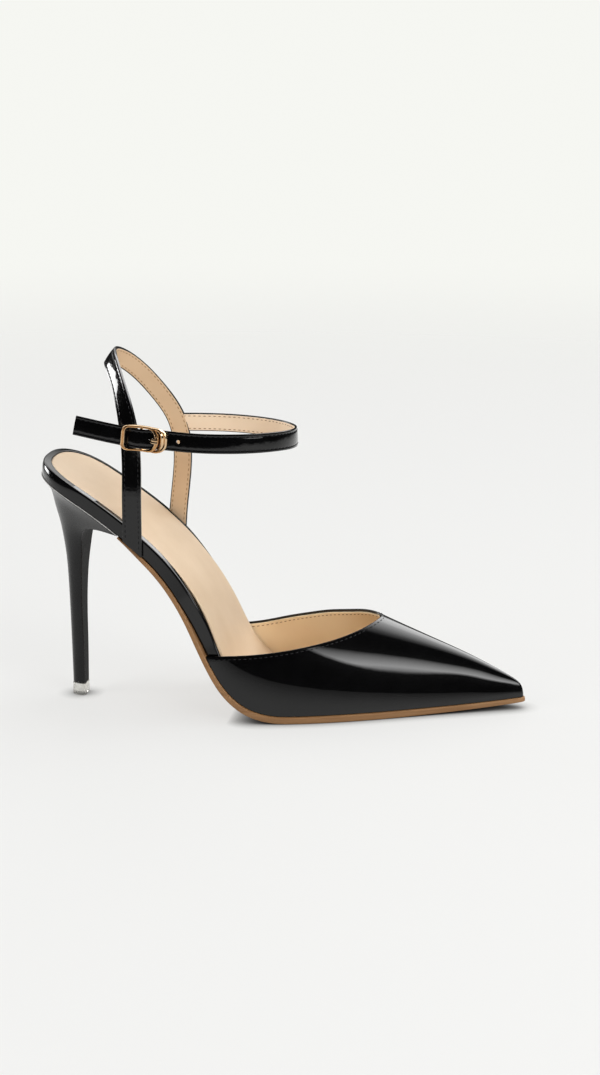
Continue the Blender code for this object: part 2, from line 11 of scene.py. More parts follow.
import bmesh
import bpy
import numpy as np
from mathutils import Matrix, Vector


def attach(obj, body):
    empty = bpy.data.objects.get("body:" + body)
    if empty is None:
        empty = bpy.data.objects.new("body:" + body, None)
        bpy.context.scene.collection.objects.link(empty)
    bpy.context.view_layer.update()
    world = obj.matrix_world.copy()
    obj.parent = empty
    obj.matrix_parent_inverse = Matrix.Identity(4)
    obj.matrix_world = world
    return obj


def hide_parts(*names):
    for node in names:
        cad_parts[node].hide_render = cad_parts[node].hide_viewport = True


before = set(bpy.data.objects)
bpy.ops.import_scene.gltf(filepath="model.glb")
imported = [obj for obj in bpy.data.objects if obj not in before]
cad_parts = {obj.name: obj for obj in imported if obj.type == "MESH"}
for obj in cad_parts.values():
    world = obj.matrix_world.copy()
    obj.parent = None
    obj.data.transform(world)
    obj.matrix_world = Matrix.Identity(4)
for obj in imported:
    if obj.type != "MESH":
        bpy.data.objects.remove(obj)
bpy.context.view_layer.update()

print("CAD nodes:", sorted(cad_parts))

# %% [markdown]
# ## Camera
# The camera comes first, so that every later step can be compared with the photograph. Its angle was
# found by matching known points of the shoe: it stands a little to the toe side of square on, about
# 13 degrees above the floor, and about a metre away. A focal length counted in pixels of the 600 by
# 1075 picture turns into a lens length by comparing the picture's long side with Blender's 36 mm sensor.

# %% Camera
MM = 0.001
PICTURE_LONG_SIDE = 1075
FOCAL_PIXELS = 2400
SENSOR_MM = 36.0
CAMERA_AZIMUTH = 8.46
CAMERA_ELEVATION = 13.33
CAMERA_DISTANCE = 1063.8
CAMERA_TARGET = Vector((101.2, 0.0, 76.15))
NEAREST_SEEN = 10.0

azimuth = math.radians(CAMERA_AZIMUTH)
elevation = math.radians(CAMERA_ELEVATION)
towards_camera = Vector((math.sin(azimuth) * math.cos(elevation),
                         -math.cos(azimuth) * math.cos(elevation), math.sin(elevation)))
camera_data = bpy.data.cameras.new("camera")
camera_data.sensor_width = SENSOR_MM
camera_data.lens = FOCAL_PIXELS / PICTURE_LONG_SIDE * SENSOR_MM
camera_data.clip_start = NEAREST_SEEN * MM
camera = bpy.data.objects.new("camera", camera_data)
camera.location = (CAMERA_TARGET + towards_camera * CAMERA_DISTANCE) * MM
camera.rotation_euler = (-towards_camera).to_track_quat("-Z", "Y").to_euler()
bpy.context.scene.collection.objects.link(camera)
bpy.context.scene.camera = camera
print("camera lens in mm:", round(camera_data.lens, 2))

# %% [markdown]
# ## Curves through small tables
# A shoe has almost no straight lines, yet each of its curves can be held by a handful of numbers. Two
# kinds of curve do all the work here: a natural spline, which is as smooth as a bent batten, and a
# cautious curve that never swings past its rows, which suits thicknesses.

# %% Two kinds of curve


def smooth_curve(rows, column=1):
    """A natural cubic spline through one column of a table."""
    x = np.array([row[0] for row in rows], float)
    y = np.array([row[column] for row in rows], float)
    step = np.diff(x)
    count = len(x)
    matrix = np.eye(count)
    right = np.zeros(count)
    for i in range(1, count - 1):
        matrix[i, i - 1:i + 2] = step[i - 1], 2 * (step[i - 1] + step[i]), step[i]
        right[i] = 6 * ((y[i + 1] - y[i]) / step[i] - (y[i] - y[i - 1]) / step[i - 1])
    bend = np.linalg.solve(matrix, right)

    def value(at):
        at = np.asarray(at, float)
        i = np.clip(np.searchsorted(x, at) - 1, 0, count - 2)
        a = (x[i + 1] - at) / step[i]
        b = (at - x[i]) / step[i]
        return (a * y[i] + b * y[i + 1]
                + ((a**3 - a) * bend[i] + (b**3 - b) * bend[i + 1]) * step[i]**2 / 6)
    return value


def even_curve(rows, column=1):
    """A curve through one column of a table that never swings past its rows."""
    x = np.array([row[0] for row in rows], float)
    y = np.array([row[column] for row in rows], float)
    step = np.diff(x)
    rate = np.diff(y) / step
    slope = np.zeros(len(x))
    slope[0] = rate[0]
    slope[-1] = rate[-1]
    for i in range(1, len(x) - 1):
        if rate[i - 1] * rate[i] > 0:
            w1 = 2 * step[i] + step[i - 1]
            w2 = step[i] + 2 * step[i - 1]
            slope[i] = (w1 + w2) / (w1 / rate[i - 1] + w2 / rate[i])

    def value(at):
        at = np.clip(np.asarray(at, float), x[0], x[-1])
        i = np.clip(np.searchsorted(x, at) - 1, 0, len(x) - 2)
        t = (at - x[i]) / step[i]
        return ((1 + 2 * t) * (1 - t)**2 * y[i] + t * (1 - t)**2 * step[i] * slope[i]
                + t**2 * (3 - 2 * t) * y[i + 1] + t**2 * (t - 1) * step[i] * slope[i + 1])
    return value


# %% [markdown]
# ## The last
# A shoemaker builds a shoe on a last, and so does this script. The bottom of the last is a flat outline
# bent along a line that falls steeply from the heel seat, flattens under the ball and lifts a little at
# the toe. A point on any sole piece is then given by its station along that line, its place across, and
# its height above the line, the same three numbers that the CAD source uses.

# %% The last's bottom line
OUTER = -1
INNER = 1
LAST_LENGTH = 262.0
BACK_X = -16.0
TREAD_HEIGHT = 3.2
TREAD_STATION = 170.0
LINE_POINTS = 2400
LINE_EXTRA = 6.0
SLOPES = (  # station, slope in degrees
    (0, -22), (30, -33.5), (60, -41), (85, -56), (105, -64), (122, -59.5), (138, -39),
    (150, -15), (164, 0), (190, 0), (262, 4.5))

line_s = np.linspace(-LINE_EXTRA, LAST_LENGTH + LINE_EXTRA, LINE_POINTS)
line_angle = np.radians(even_curve(SLOPES)(line_s))
line_step = line_s[1] - line_s[0]
line_x = np.cumsum(np.cos(line_angle)) * line_step
line_x += BACK_X - np.interp(0.0, line_s, line_x)
line_z = np.cumsum(np.sin(line_angle)) * line_step
line_z += TREAD_HEIGHT - np.interp(TREAD_STATION, line_s, line_z)


def on_last(s, y, h):
    """Points at stations s, across y, at height h above the last's bottom line."""
    s = np.asarray(s, float)
    angle = np.interp(s, line_s, line_angle)
    x = np.interp(s, line_s, line_x) - np.sin(angle) * h
    z = np.interp(s, line_s, line_z) + np.cos(angle) * h
    return np.stack([x, y + 0 * s, z], -1)


print("heel seat height in mm:", round(float(np.interp(0, line_s, line_z)), 1))

# %% The last's outline
HEEL_END = 1.0
HEEL_RADIUS = 26.0
HEEL_FULLNESS = 2.5
NOSE_LENGTH = 1.8
TOE_SWING = 6.0
SWING_START = 150.0
HEEL_STEPS = 40
SIDE_STEPS = 170
TOE_STEPS = 24
TOE_REACH = 22.0
HALF_WIDTHS = (  # station, outer, inner
    (0, 27.4, 28.2), (28, 28.6, 27.8), (62, 29.6, 29.6), (100, 32.8, 31.0), (145, 35.2, 37.4),
    (185, 26.4, 27.8), (222, 13.0, 17.0), (262, 1.6, 3.0))
half_width = {OUTER: smooth_curve(HALF_WIDTHS, 1), INNER: smooth_curve(HALF_WIDTHS, 2)}


def edge_y(s, side, margin=0.0, end=LAST_LENGTH):
    """The y of the outline at stations s, moved out by margin."""
    s = np.asarray(s, float)
    heel = np.clip(1 - np.clip(s - HEEL_END + margin, 0, None) / (HEEL_RADIUS + margin), 0, 1)
    toe = np.clip(end + margin - s, 0, None)
    rounding = (1 - heel**HEEL_FULLNESS)**(1 / HEEL_FULLNESS) * np.sqrt(toe / (toe + NOSE_LENGTH))
    swing = TOE_SWING * np.clip((s - SWING_START) / (LAST_LENGTH - SWING_START), 0, None)**2
    return swing + side * (half_width[side](s) + margin) * rounding


def outline(margin, end=LAST_LENGTH, back=None):
    """Stations and both edges, from the heel end (or a straight cut at back) to the toe end."""
    first = HEEL_END + HEEL_RADIUS
    stations = []
    if back is None:
        start = HEEL_END - margin(0.0)
        turns = np.linspace(0, np.pi / 2, HEEL_STEPS, endpoint=False)
        stations.append(start + (first - start) * (1 - np.cos(turns)))
    else:
        first = back
    toe_start = end - TOE_REACH
    toe_end = end + margin(end)
    stations.append(np.linspace(first, toe_start, SIDE_STEPS, endpoint=False))
    shares = np.linspace(0, 1, TOE_STEPS + 1)
    stations.append(toe_start + (toe_end - toe_start) * (1 - (1 - shares)**2))
    s = np.concatenate(stations)
    return s, edge_y(s, OUTER, margin(s), end), edge_y(s, INNER, margin(s), end)


# %% [markdown]
# ## From points to pieces
# Each piece starts as rows of points, joined by four-sided faces. One helper turns rows into faces and
# another makes the mesh: it welds points that fall together at tips and ends, turns all faces outwards
# and shades them smooth. The same helper hangs the piece on the body it rides on, gives it its finish and
# hides the CAD solid it stands for.

# %% Mesh helpers
WELD = 0.004 * MM
pieces = []


def grid_faces(rows, columns, wrap_rows=False, wrap_columns=False, first=0):
    """Four-sided faces of a grid of points listed row by row."""
    faces = []
    for r in range(rows if wrap_rows else rows - 1):
        r2 = (r + 1) % rows
        for c in range(columns if wrap_columns else columns - 1):
            c2 = (c + 1) % columns
            faces.append((first + r * columns + c, first + r * columns + c2,
                          first + r2 * columns + c2, first + r2 * columns + c))
    return faces


def ladder(base, size):
    """Faces that close a ring of points, rung by rung from its two ends to its middle."""
    faces = [(base + k, base + k + 1, base + size - 2 - k, base + size - 1 - k)
             for k in range((size - 2) // 2 + size % 2 - 1)]
    k = len(faces)
    if size % 2:
        faces.append((base + k, base + k + 1, base + k + 2))
    else:
        faces.append((base + k, base + k + 1, base + k + 2, base + k + 3))
    return faces


def ring_tube(rings):
    """Points and faces of a tube through a stack of rings, closed at both ends."""
    rings = np.asarray(rings)
    count, size = rings.shape[:2]
    faces = grid_faces(count, size, wrap_columns=True)
    return rings.reshape(-1, 3), faces + ladder(0, size) + ladder((count - 1) * size, size)


def end_caps(first, last, size):
    """One face over the first and one over the last ring of a tube."""
    return [tuple(range(first, first + size)), tuple(reversed(range(last, last + size)))]


def make_piece(name, points, faces, finish, slot, stands_for=(), sharp=None):
    """A closed mesh from points in millimetres, riding on the shoe's one body.

    Edges that turn by more than sharp, in degrees, are not shaded smooth.
    """
    shape = bmesh.new()
    corners = [shape.verts.new(point) for point in np.asarray(points, float) * MM]
    for face in faces:
        shape.faces.new([corners[i] for i in face])
    bmesh.ops.remove_doubles(shape, verts=shape.verts, dist=WELD)
    bmesh.ops.dissolve_degenerate(shape, edges=shape.edges, dist=WELD)
    bmesh.ops.recalc_face_normals(shape, faces=shape.faces)
    mesh = bpy.data.meshes.new(name)
    shape.to_mesh(mesh)
    shape.free()
    mesh.shade_smooth()
    if sharp is not None:
        mesh.set_sharp_from_angle(angle=math.radians(sharp))
    mesh.materials.append(finish)
    piece = bpy.data.objects.new(name, mesh)
    bpy.context.scene.collection.objects.link(piece)
    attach(piece, "root")
    if stands_for:
        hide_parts(*stands_for)
    pieces.append(piece)
    print(name, "has", len(mesh.polygons), "faces")
    return piece


# %% [markdown]
# ## Finishes
# All finishes are made of nodes. Noise in the piece's own metres drives small changes of colour and
# roughness and a low bump, so the grain keeps its real size. What is the same all over a surface, such
# as the clear coat of the patent, is set on the shader itself.

# %% Node helpers
NOISE_LOW = 0.3
NOISE_HIGH = 0.7


def new_finish(name, **sockets):
    """A material and its shader, with some of the shader's sockets set."""
    finish = bpy.data.materials.new(name)
    finish.use_nodes = True
    shader = finish.node_tree.nodes["Principled BSDF"]
    for socket, value in sockets.items():
        shader.inputs[socket.replace("_", " ")].default_value = value
    return finish, shader


def add_noise(finish, scale, detail=3.0, stretch=(1, 1, 1)):
    """Noise over the piece's own coordinates; scale is in waves per metre."""
    nodes = finish.node_tree.nodes
    links = finish.node_tree.links
    place = nodes.new("ShaderNodeTexCoord")
    sizing = nodes.new("ShaderNodeMapping")
    sizing.inputs["Scale"].default_value = stretch
    noise = nodes.new("ShaderNodeTexNoise")
    noise.inputs["Scale"].default_value = scale
    noise.inputs["Detail"].default_value = detail
    links.new(place.outputs["Object"], sizing.inputs["Vector"])
    links.new(sizing.outputs["Vector"], noise.inputs["Vector"])
    return noise.outputs["Fac"]


def add_cells(finish, scale):
    """Rounded cells, the pebbled grain of leather."""
    nodes = finish.node_tree.nodes
    links = finish.node_tree.links
    place = nodes.new("ShaderNodeTexCoord")
    cells = nodes.new("ShaderNodeTexVoronoi")
    cells.feature = "SMOOTH_F1"
    cells.inputs["Scale"].default_value = scale
    links.new(place.outputs["Object"], cells.inputs["Vector"])
    return cells.outputs["Distance"]


def colour_by(finish, source, socket, low, high):
    """Links a two-colour ramp over a source to a colour socket."""
    ramp = finish.node_tree.nodes.new("ShaderNodeValToRGB")
    ramp.color_ramp.elements[0].position = NOISE_LOW
    ramp.color_ramp.elements[1].position = NOISE_HIGH
    ramp.color_ramp.elements[0].color = (*low, 1.0)
    ramp.color_ramp.elements[1].color = (*high, 1.0)
    finish.node_tree.links.new(source, ramp.inputs["Fac"])
    finish.node_tree.links.new(ramp.outputs["Color"], socket)


def value_by(finish, source, socket, low, high):
    """Links a source, spread between two values, to a socket."""
    spread = finish.node_tree.nodes.new("ShaderNodeMapRange")
    spread.inputs["From Min"].default_value = NOISE_LOW
    spread.inputs["From Max"].default_value = NOISE_HIGH
    spread.inputs["To Min"].default_value = low
    spread.inputs["To Max"].default_value = high
    finish.node_tree.links.new(source, spread.inputs["Value"])
    finish.node_tree.links.new(spread.outputs["Result"], socket)


def bump_by(finish, sources, socket):
    """Stacks bumps, given as source, strength and height in millimetres, into a normal socket."""
    links = finish.node_tree.links
    before = None
    for source, strength, height in sources:
        bump = finish.node_tree.nodes.new("ShaderNodeBump")
        bump.inputs["Strength"].default_value = strength
        bump.inputs["Distance"].default_value = height * MM
        links.new(source, bump.inputs["Height"])
        if before is not None:
            links.new(before, bump.inputs["Normal"])
        before = bump.outputs["Normal"]
    links.new(before, socket)


# %% [markdown]
# ### Black patent leather
# Patent leather is leather under a poured, clear coat. The coat mirrors the lights sharply over a nearly
# black ground. Two versions differ only in how their coat lies: the vamp and the footbed are stretched
# smooth, while the thin straps ripple and crinkle, which breaks up their highlights.

# %% Patent leather


def patent(name, ripple, crinkle):
    """Patent leather; ripple and crinkle set how unevenly its coat lies."""
    finish, shader = new_finish(name, Coat_Weight=1.0, Coat_Roughness=0.02, Coat_IOR=1.47, IOR=1.45)
    shader.inputs["Specular IOR Level"].default_value = 0.04
    fine = add_noise(finish, 1400, 4.0)
    broad = add_noise(finish, 130, 2.0)
    creases = add_noise(finish, 430, 3.0)
    colour_by(finish, broad, shader.inputs["Base Color"], (0.0008, 0.0008, 0.0009), (0.0018, 0.0018, 0.0020))
    value_by(finish, fine, shader.inputs["Roughness"], 0.20, 0.34)
    bump_by(finish, [(fine, 0.10, 0.02)], shader.inputs["Normal"])
    bump_by(finish, [(broad, ripple, 0.25), (creases, crinkle, 0.12)], shader.inputs["Coat Normal"])
    return finish


smooth_patent = patent("black_patent_smooth", 0.05, 0.01)
strap_patent = patent("black_patent_strap", 0.45, 0.4)
print("patents:", smooth_patent.name, strap_patent.name)

# %% [markdown]
# ### Beige leather, tan sole, heel lacquer, clear tip and gold
# The sock and the linings are one kind of soft, matt leather with a fine pebble, in four shades: the sock,
# the heel strap, the paler ankle strap and the vamp. The vamp's lining is given a much lighter shade, as
# painted light that makes up for the shade it lies in. The sole is a dense tan board with faint streaks
# along its length. The heel has a satin lacquer, the tip is milky and lets light through, and the buckle
# is polished gold.

# %% Leathers


def soft_leather(name, low, high):
    """Matt, pebbled leather between two shades."""
    finish, shader = new_finish(name, IOR=1.45)
    shader.inputs["Specular IOR Level"].default_value = 0.35
    shader.inputs["Sheen Weight"].default_value = 0.08
    clouds = add_noise(finish, 45, 3.0)
    pebble = add_cells(finish, 1500)
    fibre = add_noise(finish, 2600, 4.0)
    colour_by(finish, clouds, shader.inputs["Base Color"], low, high)
    value_by(finish, fibre, shader.inputs["Roughness"], 0.42, 0.58)
    bump_by(finish, [(pebble, 0.10, 0.05), (fibre, 0.12, 0.03)], shader.inputs["Normal"])
    return finish


sock_leather = soft_leather("beige_sock", (0.63, 0.47, 0.31), (0.70, 0.54, 0.375))
lining_leather = soft_leather("beige_lining", (0.65, 0.45, 0.275), (0.71, 0.52, 0.335))
# The vamp's lining is painted much lighter, to make up for the shade it lies in.
vamp_lining_lightened = soft_leather("vamp_lining_painted_light", (0.93, 0.72, 0.46), (0.97, 0.79, 0.53))
ankle_leather = soft_leather("pale_ankle_lining", (0.88, 0.68, 0.49), (0.93, 0.75, 0.56))


def sole_board(name):
    """Tan board with streaks along the sole."""
    finish, shader = new_finish(name, IOR=1.45)
    streaks = add_noise(finish, 90, 4.0, (0.25, 1, 6))
    grain = add_noise(finish, 1800, 4.0)
    colour_by(finish, streaks, shader.inputs["Base Color"], (0.235, 0.115, 0.043), (0.325, 0.172, 0.072))
    value_by(finish, grain, shader.inputs["Roughness"], 0.38, 0.55)
    bump_by(finish, [(streaks, 0.10, 0.10), (grain, 0.12, 0.04)], shader.inputs["Normal"])
    return finish


tan_board = sole_board("tan_sole_board")

# %% Lacquer, tip, gold and thread


def heel_lacquer(name):
    """Black lacquer with a satin shine."""
    finish, shader = new_finish(name, Coat_Weight=0.15, Coat_Roughness=0.08, IOR=1.45)
    shader.inputs["Specular IOR Level"].default_value = 0.25
    grain = add_noise(finish, 1100, 3.0)
    waves = add_noise(finish, 90, 2.0)
    colour_by(finish, waves, shader.inputs["Base Color"], (0.004, 0.004, 0.0042), (0.007, 0.007, 0.0073))
    value_by(finish, grain, shader.inputs["Roughness"], 0.24, 0.34)
    bump_by(finish, [(waves, 0.05, 0.2), (grain, 0.05, 0.02)], shader.inputs["Normal"])
    return finish


def milky_plastic(name):
    """Cloudy plastic that lets light through."""
    finish, shader = new_finish(name, Transmission_Weight=0.7, IOR=1.46)
    clouds = add_noise(finish, 400, 3.0)
    colour_by(finish, clouds, shader.inputs["Base Color"], (0.80, 0.79, 0.73), (0.92, 0.91, 0.87))
    value_by(finish, clouds, shader.inputs["Roughness"], 0.10, 0.22)
    return finish


def polished_gold(name):
    """Pale gold with faint brushing and tarnish."""
    finish, shader = new_finish(name, Metallic=1.0)
    tarnish = add_noise(finish, 260, 3.0)
    brushing = add_noise(finish, 2400, 3.0)
    colour_by(finish, tarnish, shader.inputs["Base Color"], (0.66, 0.44, 0.26), (0.84, 0.62, 0.38))
    value_by(finish, brushing, shader.inputs["Roughness"], 0.07, 0.16)
    bump_by(finish, [(brushing, 0.05, 0.01)], shader.inputs["Normal"])
    return finish


def thread(name, low, high):
    """Twisted thread between two shades."""
    finish, shader = new_finish(name)
    shader.inputs["Specular IOR Level"].default_value = 0.3
    twist = add_noise(finish, 3000, 2.0)
    colour_by(finish, twist, shader.inputs["Base Color"], low, high)
    value_by(finish, twist, shader.inputs["Roughness"], 0.35, 0.6)
    bump_by(finish, [(twist, 0.3, 0.05)], shader.inputs["Normal"])
    return finish


lacquer = heel_lacquer("black_heel_lacquer")
milky = milky_plastic("milky_tip")
gold = polished_gold("pale_gold")
black_thread = thread("black_thread", (0.004, 0.004, 0.005), (0.012, 0.012, 0.013))
brown_thread = thread("brown_thread", (0.25, 0.12, 0.05), (0.42, 0.23, 0.10))
print("finishes:", len(bpy.data.materials))

# %% [markdown]
# ## Sole pieces
# The footbed, the insole sock and the outsole are all slabs over the last: the outline at several levels,
# each with its own margin and height, joined into a wall and closed above and below. The footbed could
# be a flat mesh with a Solidify modifier, but its edge is a leather wrap whose rounded shoulder and rim
# carry a bright line in the photograph, so both get rows of their own. Under the heel the rim goes all
# round a shallow bed, and the seat leans a little to the outer side.

# %% Slabs over the last
GAP = 0.3


def stay_flat(s, y, h):
    """No lift, for slabs that keep to their levels."""
    return 0.0


def slab(name, levels, finish, slot, stands_for, end=LAST_LENGTH, back=None, columns=2,
         lift=stay_flat, sharp=None):
    """Joins the outline at each level; lift may raise points by their station, place across and height."""
    points = []
    for margin, height in levels:
        s, outer, inner = outline(margin, end, back)
        h = height(s)
        points.append(on_last(s, outer, h + lift(s, outer, h)))
        points.append(on_last(s, inner, h + lift(s, inner, h))[::-1])
    count = len(s)
    faces = grid_faces(len(levels), 2 * count, wrap_columns=True)
    last = (len(levels) - 1) * 2 * count
    faces += [(k, k + 1, 2 * count - 2 - k, 2 * count - 1 - k) for k in range(count - 1)]
    lines = [[last + k for k in range(count)]]
    next_point = len(levels) * 2 * count
    for column in range(1, columns):
        across = outer + (inner - outer) * column / columns
        points.append(on_last(s, across, h + lift(s, across, h)))
        lines.append([next_point + k for k in range(count)])
        next_point += count
    lines.append([last + 2 * count - 1 - k for k in range(count)])
    for near, far in zip(lines, lines[1:]):
        faces += [(near[k], near[k + 1], far[k + 1], far[k]) for k in range(count - 1)]
    return make_piece(name, np.concatenate(points), faces, finish, slot, stands_for, sharp)


# %% Footbed wrap
FOOTBED_END = 248.0
FOOTBED_ROUNDING = 0.9
ROUNDING_SHARE = 0.6
SHOULDER_STEPS = 9
UNDERCUT = 0.5
SIDE_ROWS = 9
FIRST_ROW = 0.01
RIM_ROWS = (0.1, 0.5, 0.9)
FOOTBED_THICKNESS = (  # station, thickness
    (0, 6.4), (60, 6.4), (100, 6.2), (130, 4.2), (190, 3.0), (262, 1.6))
FOOTBED_INSET = (  # station, inset from the last's outline
    (0, 0), (86, 0), (112, 2.8), (262, 2.8))
FOOTBED_TUCK = (  # station, how far its lower edge is tucked in
    (0, 1.8), (26, 0.4), (50, 0), (262, 0))
SOCK_MARGIN = (  # station, inset of the sock from the last's outline
    (0, 3.45), (60, 3.4), (88, 2.95), (112, 2.8), (262, 2.8))
SEAT_RECESS = (  # station, depth of the bed that the sock lies in
    (0, 0.75), (60, 0.75), (98, 0), (262, 0))
SEAT_ROLL = (  # station, rise across the seat towards its inner edge, in degrees
    (0, 1.1), (50, 1.1), (85, 0), (262, 0))
SEAT_HALF_WIDTH = 28.0
RIM_FALL = (  # station, how much the rim falls towards its outer edge
    (0, 0.3), (60, 0.3), (98, 0), (262, 0))
RIM_GAP = 0.35
RIM_ROLL = (  # share of the rim gap, share of the recess
    (0.0, 0.0), (0.3, 0.06), (0.62, 0.27), (0.8, 0.6), (0.8, 1.0))
footbed_thickness = even_curve(FOOTBED_THICKNESS)
footbed_inset = even_curve(FOOTBED_INSET)
footbed_tuck = even_curve(FOOTBED_TUCK)
sock_margin = even_curve(SOCK_MARGIN)
seat_recess = even_curve(SEAT_RECESS)
seat_roll = even_curve(SEAT_ROLL)
rim_fall = even_curve(RIM_FALL)


def shoulder(s):
    """Height of the rounded shoulder, less where the footbed is thin."""
    return np.minimum(FOOTBED_ROUNDING, ROUNDING_SHARE * footbed_thickness(s))


def rim_start(s):
    """Inset where the shoulder ends and the rim begins."""
    return footbed_inset(s) + FOOTBED_ROUNDING


def rim_stop(s):
    """Inset where the rim rolls down to the sock's bed."""
    return np.maximum(sock_margin(s) - RIM_GAP, rim_start(s))


def rim_edge(s):
    """Height of the rim at its outer edge."""
    return footbed_thickness(s) - rim_fall(s)


footbed_levels = [(lambda s: -footbed_inset(s) - footbed_tuck(s) - UNDERCUT, lambda s: 0.0 * s)]
for share in np.linspace(FIRST_ROW, 1, SIDE_ROWS + 1)[:-1]:
    footbed_levels.append((
        lambda s, left=1 - share: -footbed_inset(s) - footbed_tuck(s) * left**2,
        lambda s, share=share: share * (rim_edge(s) - shoulder(s))))
for turn in np.linspace(0, np.pi / 2, SHOULDER_STEPS):
    footbed_levels.append((
        lambda s, pull=1 - math.cos(turn): -footbed_inset(s) - pull * FOOTBED_ROUNDING,
        lambda s, drop=1 - math.sin(turn): rim_edge(s) - drop * shoulder(s)))
for share in RIM_ROWS:
    footbed_levels.append((
        lambda s, share=share: -rim_start(s) - share * (rim_stop(s) - rim_start(s)),
        lambda s, share=share: rim_edge(s) + share * rim_fall(s)))
for reach, fall in RIM_ROLL:
    footbed_levels.append((
        lambda s, reach=reach: -rim_stop(s) - RIM_GAP * reach,
        lambda s, fall=fall: footbed_thickness(s) - fall * seat_recess(s)))


def roll_seat(s, y, h):
    """The heel seat leans a little to the outer side, so its inner edge is thicker."""
    return np.tan(np.radians(seat_roll(s))) * (y + SEAT_HALF_WIDTH) * np.clip(h / footbed_thickness(s), 0, 1)


slab("footbed_wrap", footbed_levels, smooth_patent, "black_patent", ["footbed"], FOOTBED_END, lift=roll_seat)

# %% [markdown]
# Under the heel the sock lies in a shallow bed, so that a black rim shows all round it; further forward
# it lies on the footbed, and inside the vamp it reaches the lining. Its top is crowned a little across.
# The crown fades where the sock narrows to its round end, because all its columns of points meet there.

# %% Insole sock
SOCK_END = 236.0
SOCK_COLUMNS = 24
SOCK_HEIGHTS = (  # station, underside and top, both from the footbed's edge
    (0, -0.7, -0.35), (60, -0.7, -0.35), (100, 0.3, 1.3), (112, 0.3, 1.5), (262, 0.3, 1.5))
SOCK_PADDING = (  # station, crown height in the middle
    (0, 0.5), (40, 0.7), (100, 0.5), (150, 0.5), (236, 0.1))
SOCK_ROUNDING = 0.4
SOCK_UPRIGHT = 0.4
SOCK_EDGE_STEPS = 5
sock_under = even_curve(SOCK_HEIGHTS, 1)
sock_over = even_curve(SOCK_HEIGHTS, 2)
sock_padding = even_curve(SOCK_PADDING)


def pad_sock(s, y, h):
    """Crown of the sock over its half width, with the roll of the heel seat."""
    low = edge_y(s, OUTER, -sock_margin(s), SOCK_END)
    high = edge_y(s, INNER, -sock_margin(s), SOCK_END)
    half = np.maximum((high - low) / 2, 1e-6)
    place = np.clip((y - (low + high) / 2) / half, -1, 1)
    return roll_seat(s, y, h) + sock_padding(s) * (1 - place**2) * np.clip(half / SEAT_HALF_WIDTH, 0, 1)


def sock_height(s, share):
    """Height of a level of the sock, by its share of the sock's thickness."""
    return footbed_thickness(s) + sock_under(s) + share * (sock_over(s) - sock_under(s))


sock_levels = [(lambda s: -sock_margin(s), lambda s: sock_height(s, 0))]
for turn in np.linspace(0, np.pi / 2, SOCK_EDGE_STEPS):
    sock_levels.append((
        lambda s, pull=1 - math.cos(turn): -sock_margin(s) - pull * SOCK_ROUNDING,
        lambda s, share=SOCK_UPRIGHT + (1 - SOCK_UPRIGHT) * math.sin(turn): sock_height(s, share)))
slab("insole_sock", sock_levels, sock_leather, "beige_lining", ["insole"], SOCK_END,
     columns=SOCK_COLUMNS, lift=pad_sock)

# %% [markdown]
# The outsole is a board with eased edges under the footbed. It starts with a straight cut in front of the
# heel, where it is thinned, and its edge stands a little proud of the vamp, as a tan line round the toe.

# %% Outsole
OUTSOLE_BACK = 48.4
OUTSOLE_EDGE = 0.5
OUTSOLE_TOP_EDGE = 0.25
OUTSOLE_EDGE_STEPS = 5
OUTSOLE_DEPTH = (  # station, depth of its lower face under the last
    (48, 1.0), (66, 2.2), (110, 2.4), (160, 3.2), (194, 3.2), (262, 2.4))
OUTSOLE_OVERHANG = (  # station, overhang past the last's outline
    (48, 0.6), (110, 0.8), (150, 1.3), (200, 1.5), (262, 0.7))
outsole_depth = even_curve(OUTSOLE_DEPTH)
outsole_overhang = even_curve(OUTSOLE_OVERHANG)
outsole_levels = []
for turn in np.linspace(0, np.pi / 2, OUTSOLE_EDGE_STEPS):
    outsole_levels.append((
        lambda s, pull=1 - math.sin(turn): outsole_overhang(s) - pull * OUTSOLE_EDGE,
        lambda s, rise=1 - math.cos(turn): rise * OUTSOLE_EDGE - outsole_depth(s)))
outsole_levels.append((lambda s: outsole_overhang(s), lambda s: -GAP - OUTSOLE_TOP_EDGE + 0 * s))
outsole_levels.append((lambda s: outsole_overhang(s) - OUTSOLE_TOP_EDGE, lambda s: -GAP + 0 * s))
slab("outsole_board", outsole_levels, tan_board, "tan_outsole", ["outsole"], back=OUTSOLE_BACK, sharp=40)

# %% [markdown]
# ## Vamp
# The vamp is the closed toe of the shoe. Its surface is known in every upright plane: a rounded section
# between the two edges of the last, as high as the crest. The sheet runs from the top edge to the toe.
# Subdivision of a coarse cage would be quicker to model, but the highlights follow this surface exactly,
# so it is sampled finely instead. The leather is a closed shell: outer face, an edge rolled over at the
# top, inner face. The lining is a second, thinner shell inside it that stops just short of the edge.

# %% Vamp surface
WALL_BULGE = 0.3
WALL_LEAN = 1.0
LEAN_HEIGHT = 9.0
BULGE_SCALE = 27 / 4
VAMP_BACK_X = 58.0
THROAT_LIMIT_X = 145.0
HALVINGS = 50
CREST = (  # x, crest y, crest z, fullness of the section
    (60, 0, 80.6, 2.2), (110, 0.5, 55.0, 2.1), (137.4, 1.5, 42.4, 1.9), (163.7, 3.6, 30.9, 1.75),
    (180, 4.8, 23.6, 1.75), (190.6, 5.6, 18.3, 1.8), (201.6, 6.0, 13.2, 2.0))
TOPLINE = (  # x, outer z, inner z
    (58, 29.2, 26.8), (74, 29.8, 27.2), (85, 30.3, 29.7), (92, 30.9, 31.9), (101.7, 32.1, 34.8),
    (111.5, 33.7, 37.7), (121.4, 35.8, 39.9), (131.7, 39.1, 42.0), (138.4, 42.0, 42.0), (150, 47.0, 42.0))
crest_y = smooth_curve(CREST, 1)
crest_z = smooth_curve(CREST, 2)
fullness = smooth_curve(CREST, 3)
topline_z = {OUTER: smooth_curve(TOPLINE, 1), INNER: smooth_curve(TOPLINE, 2)}
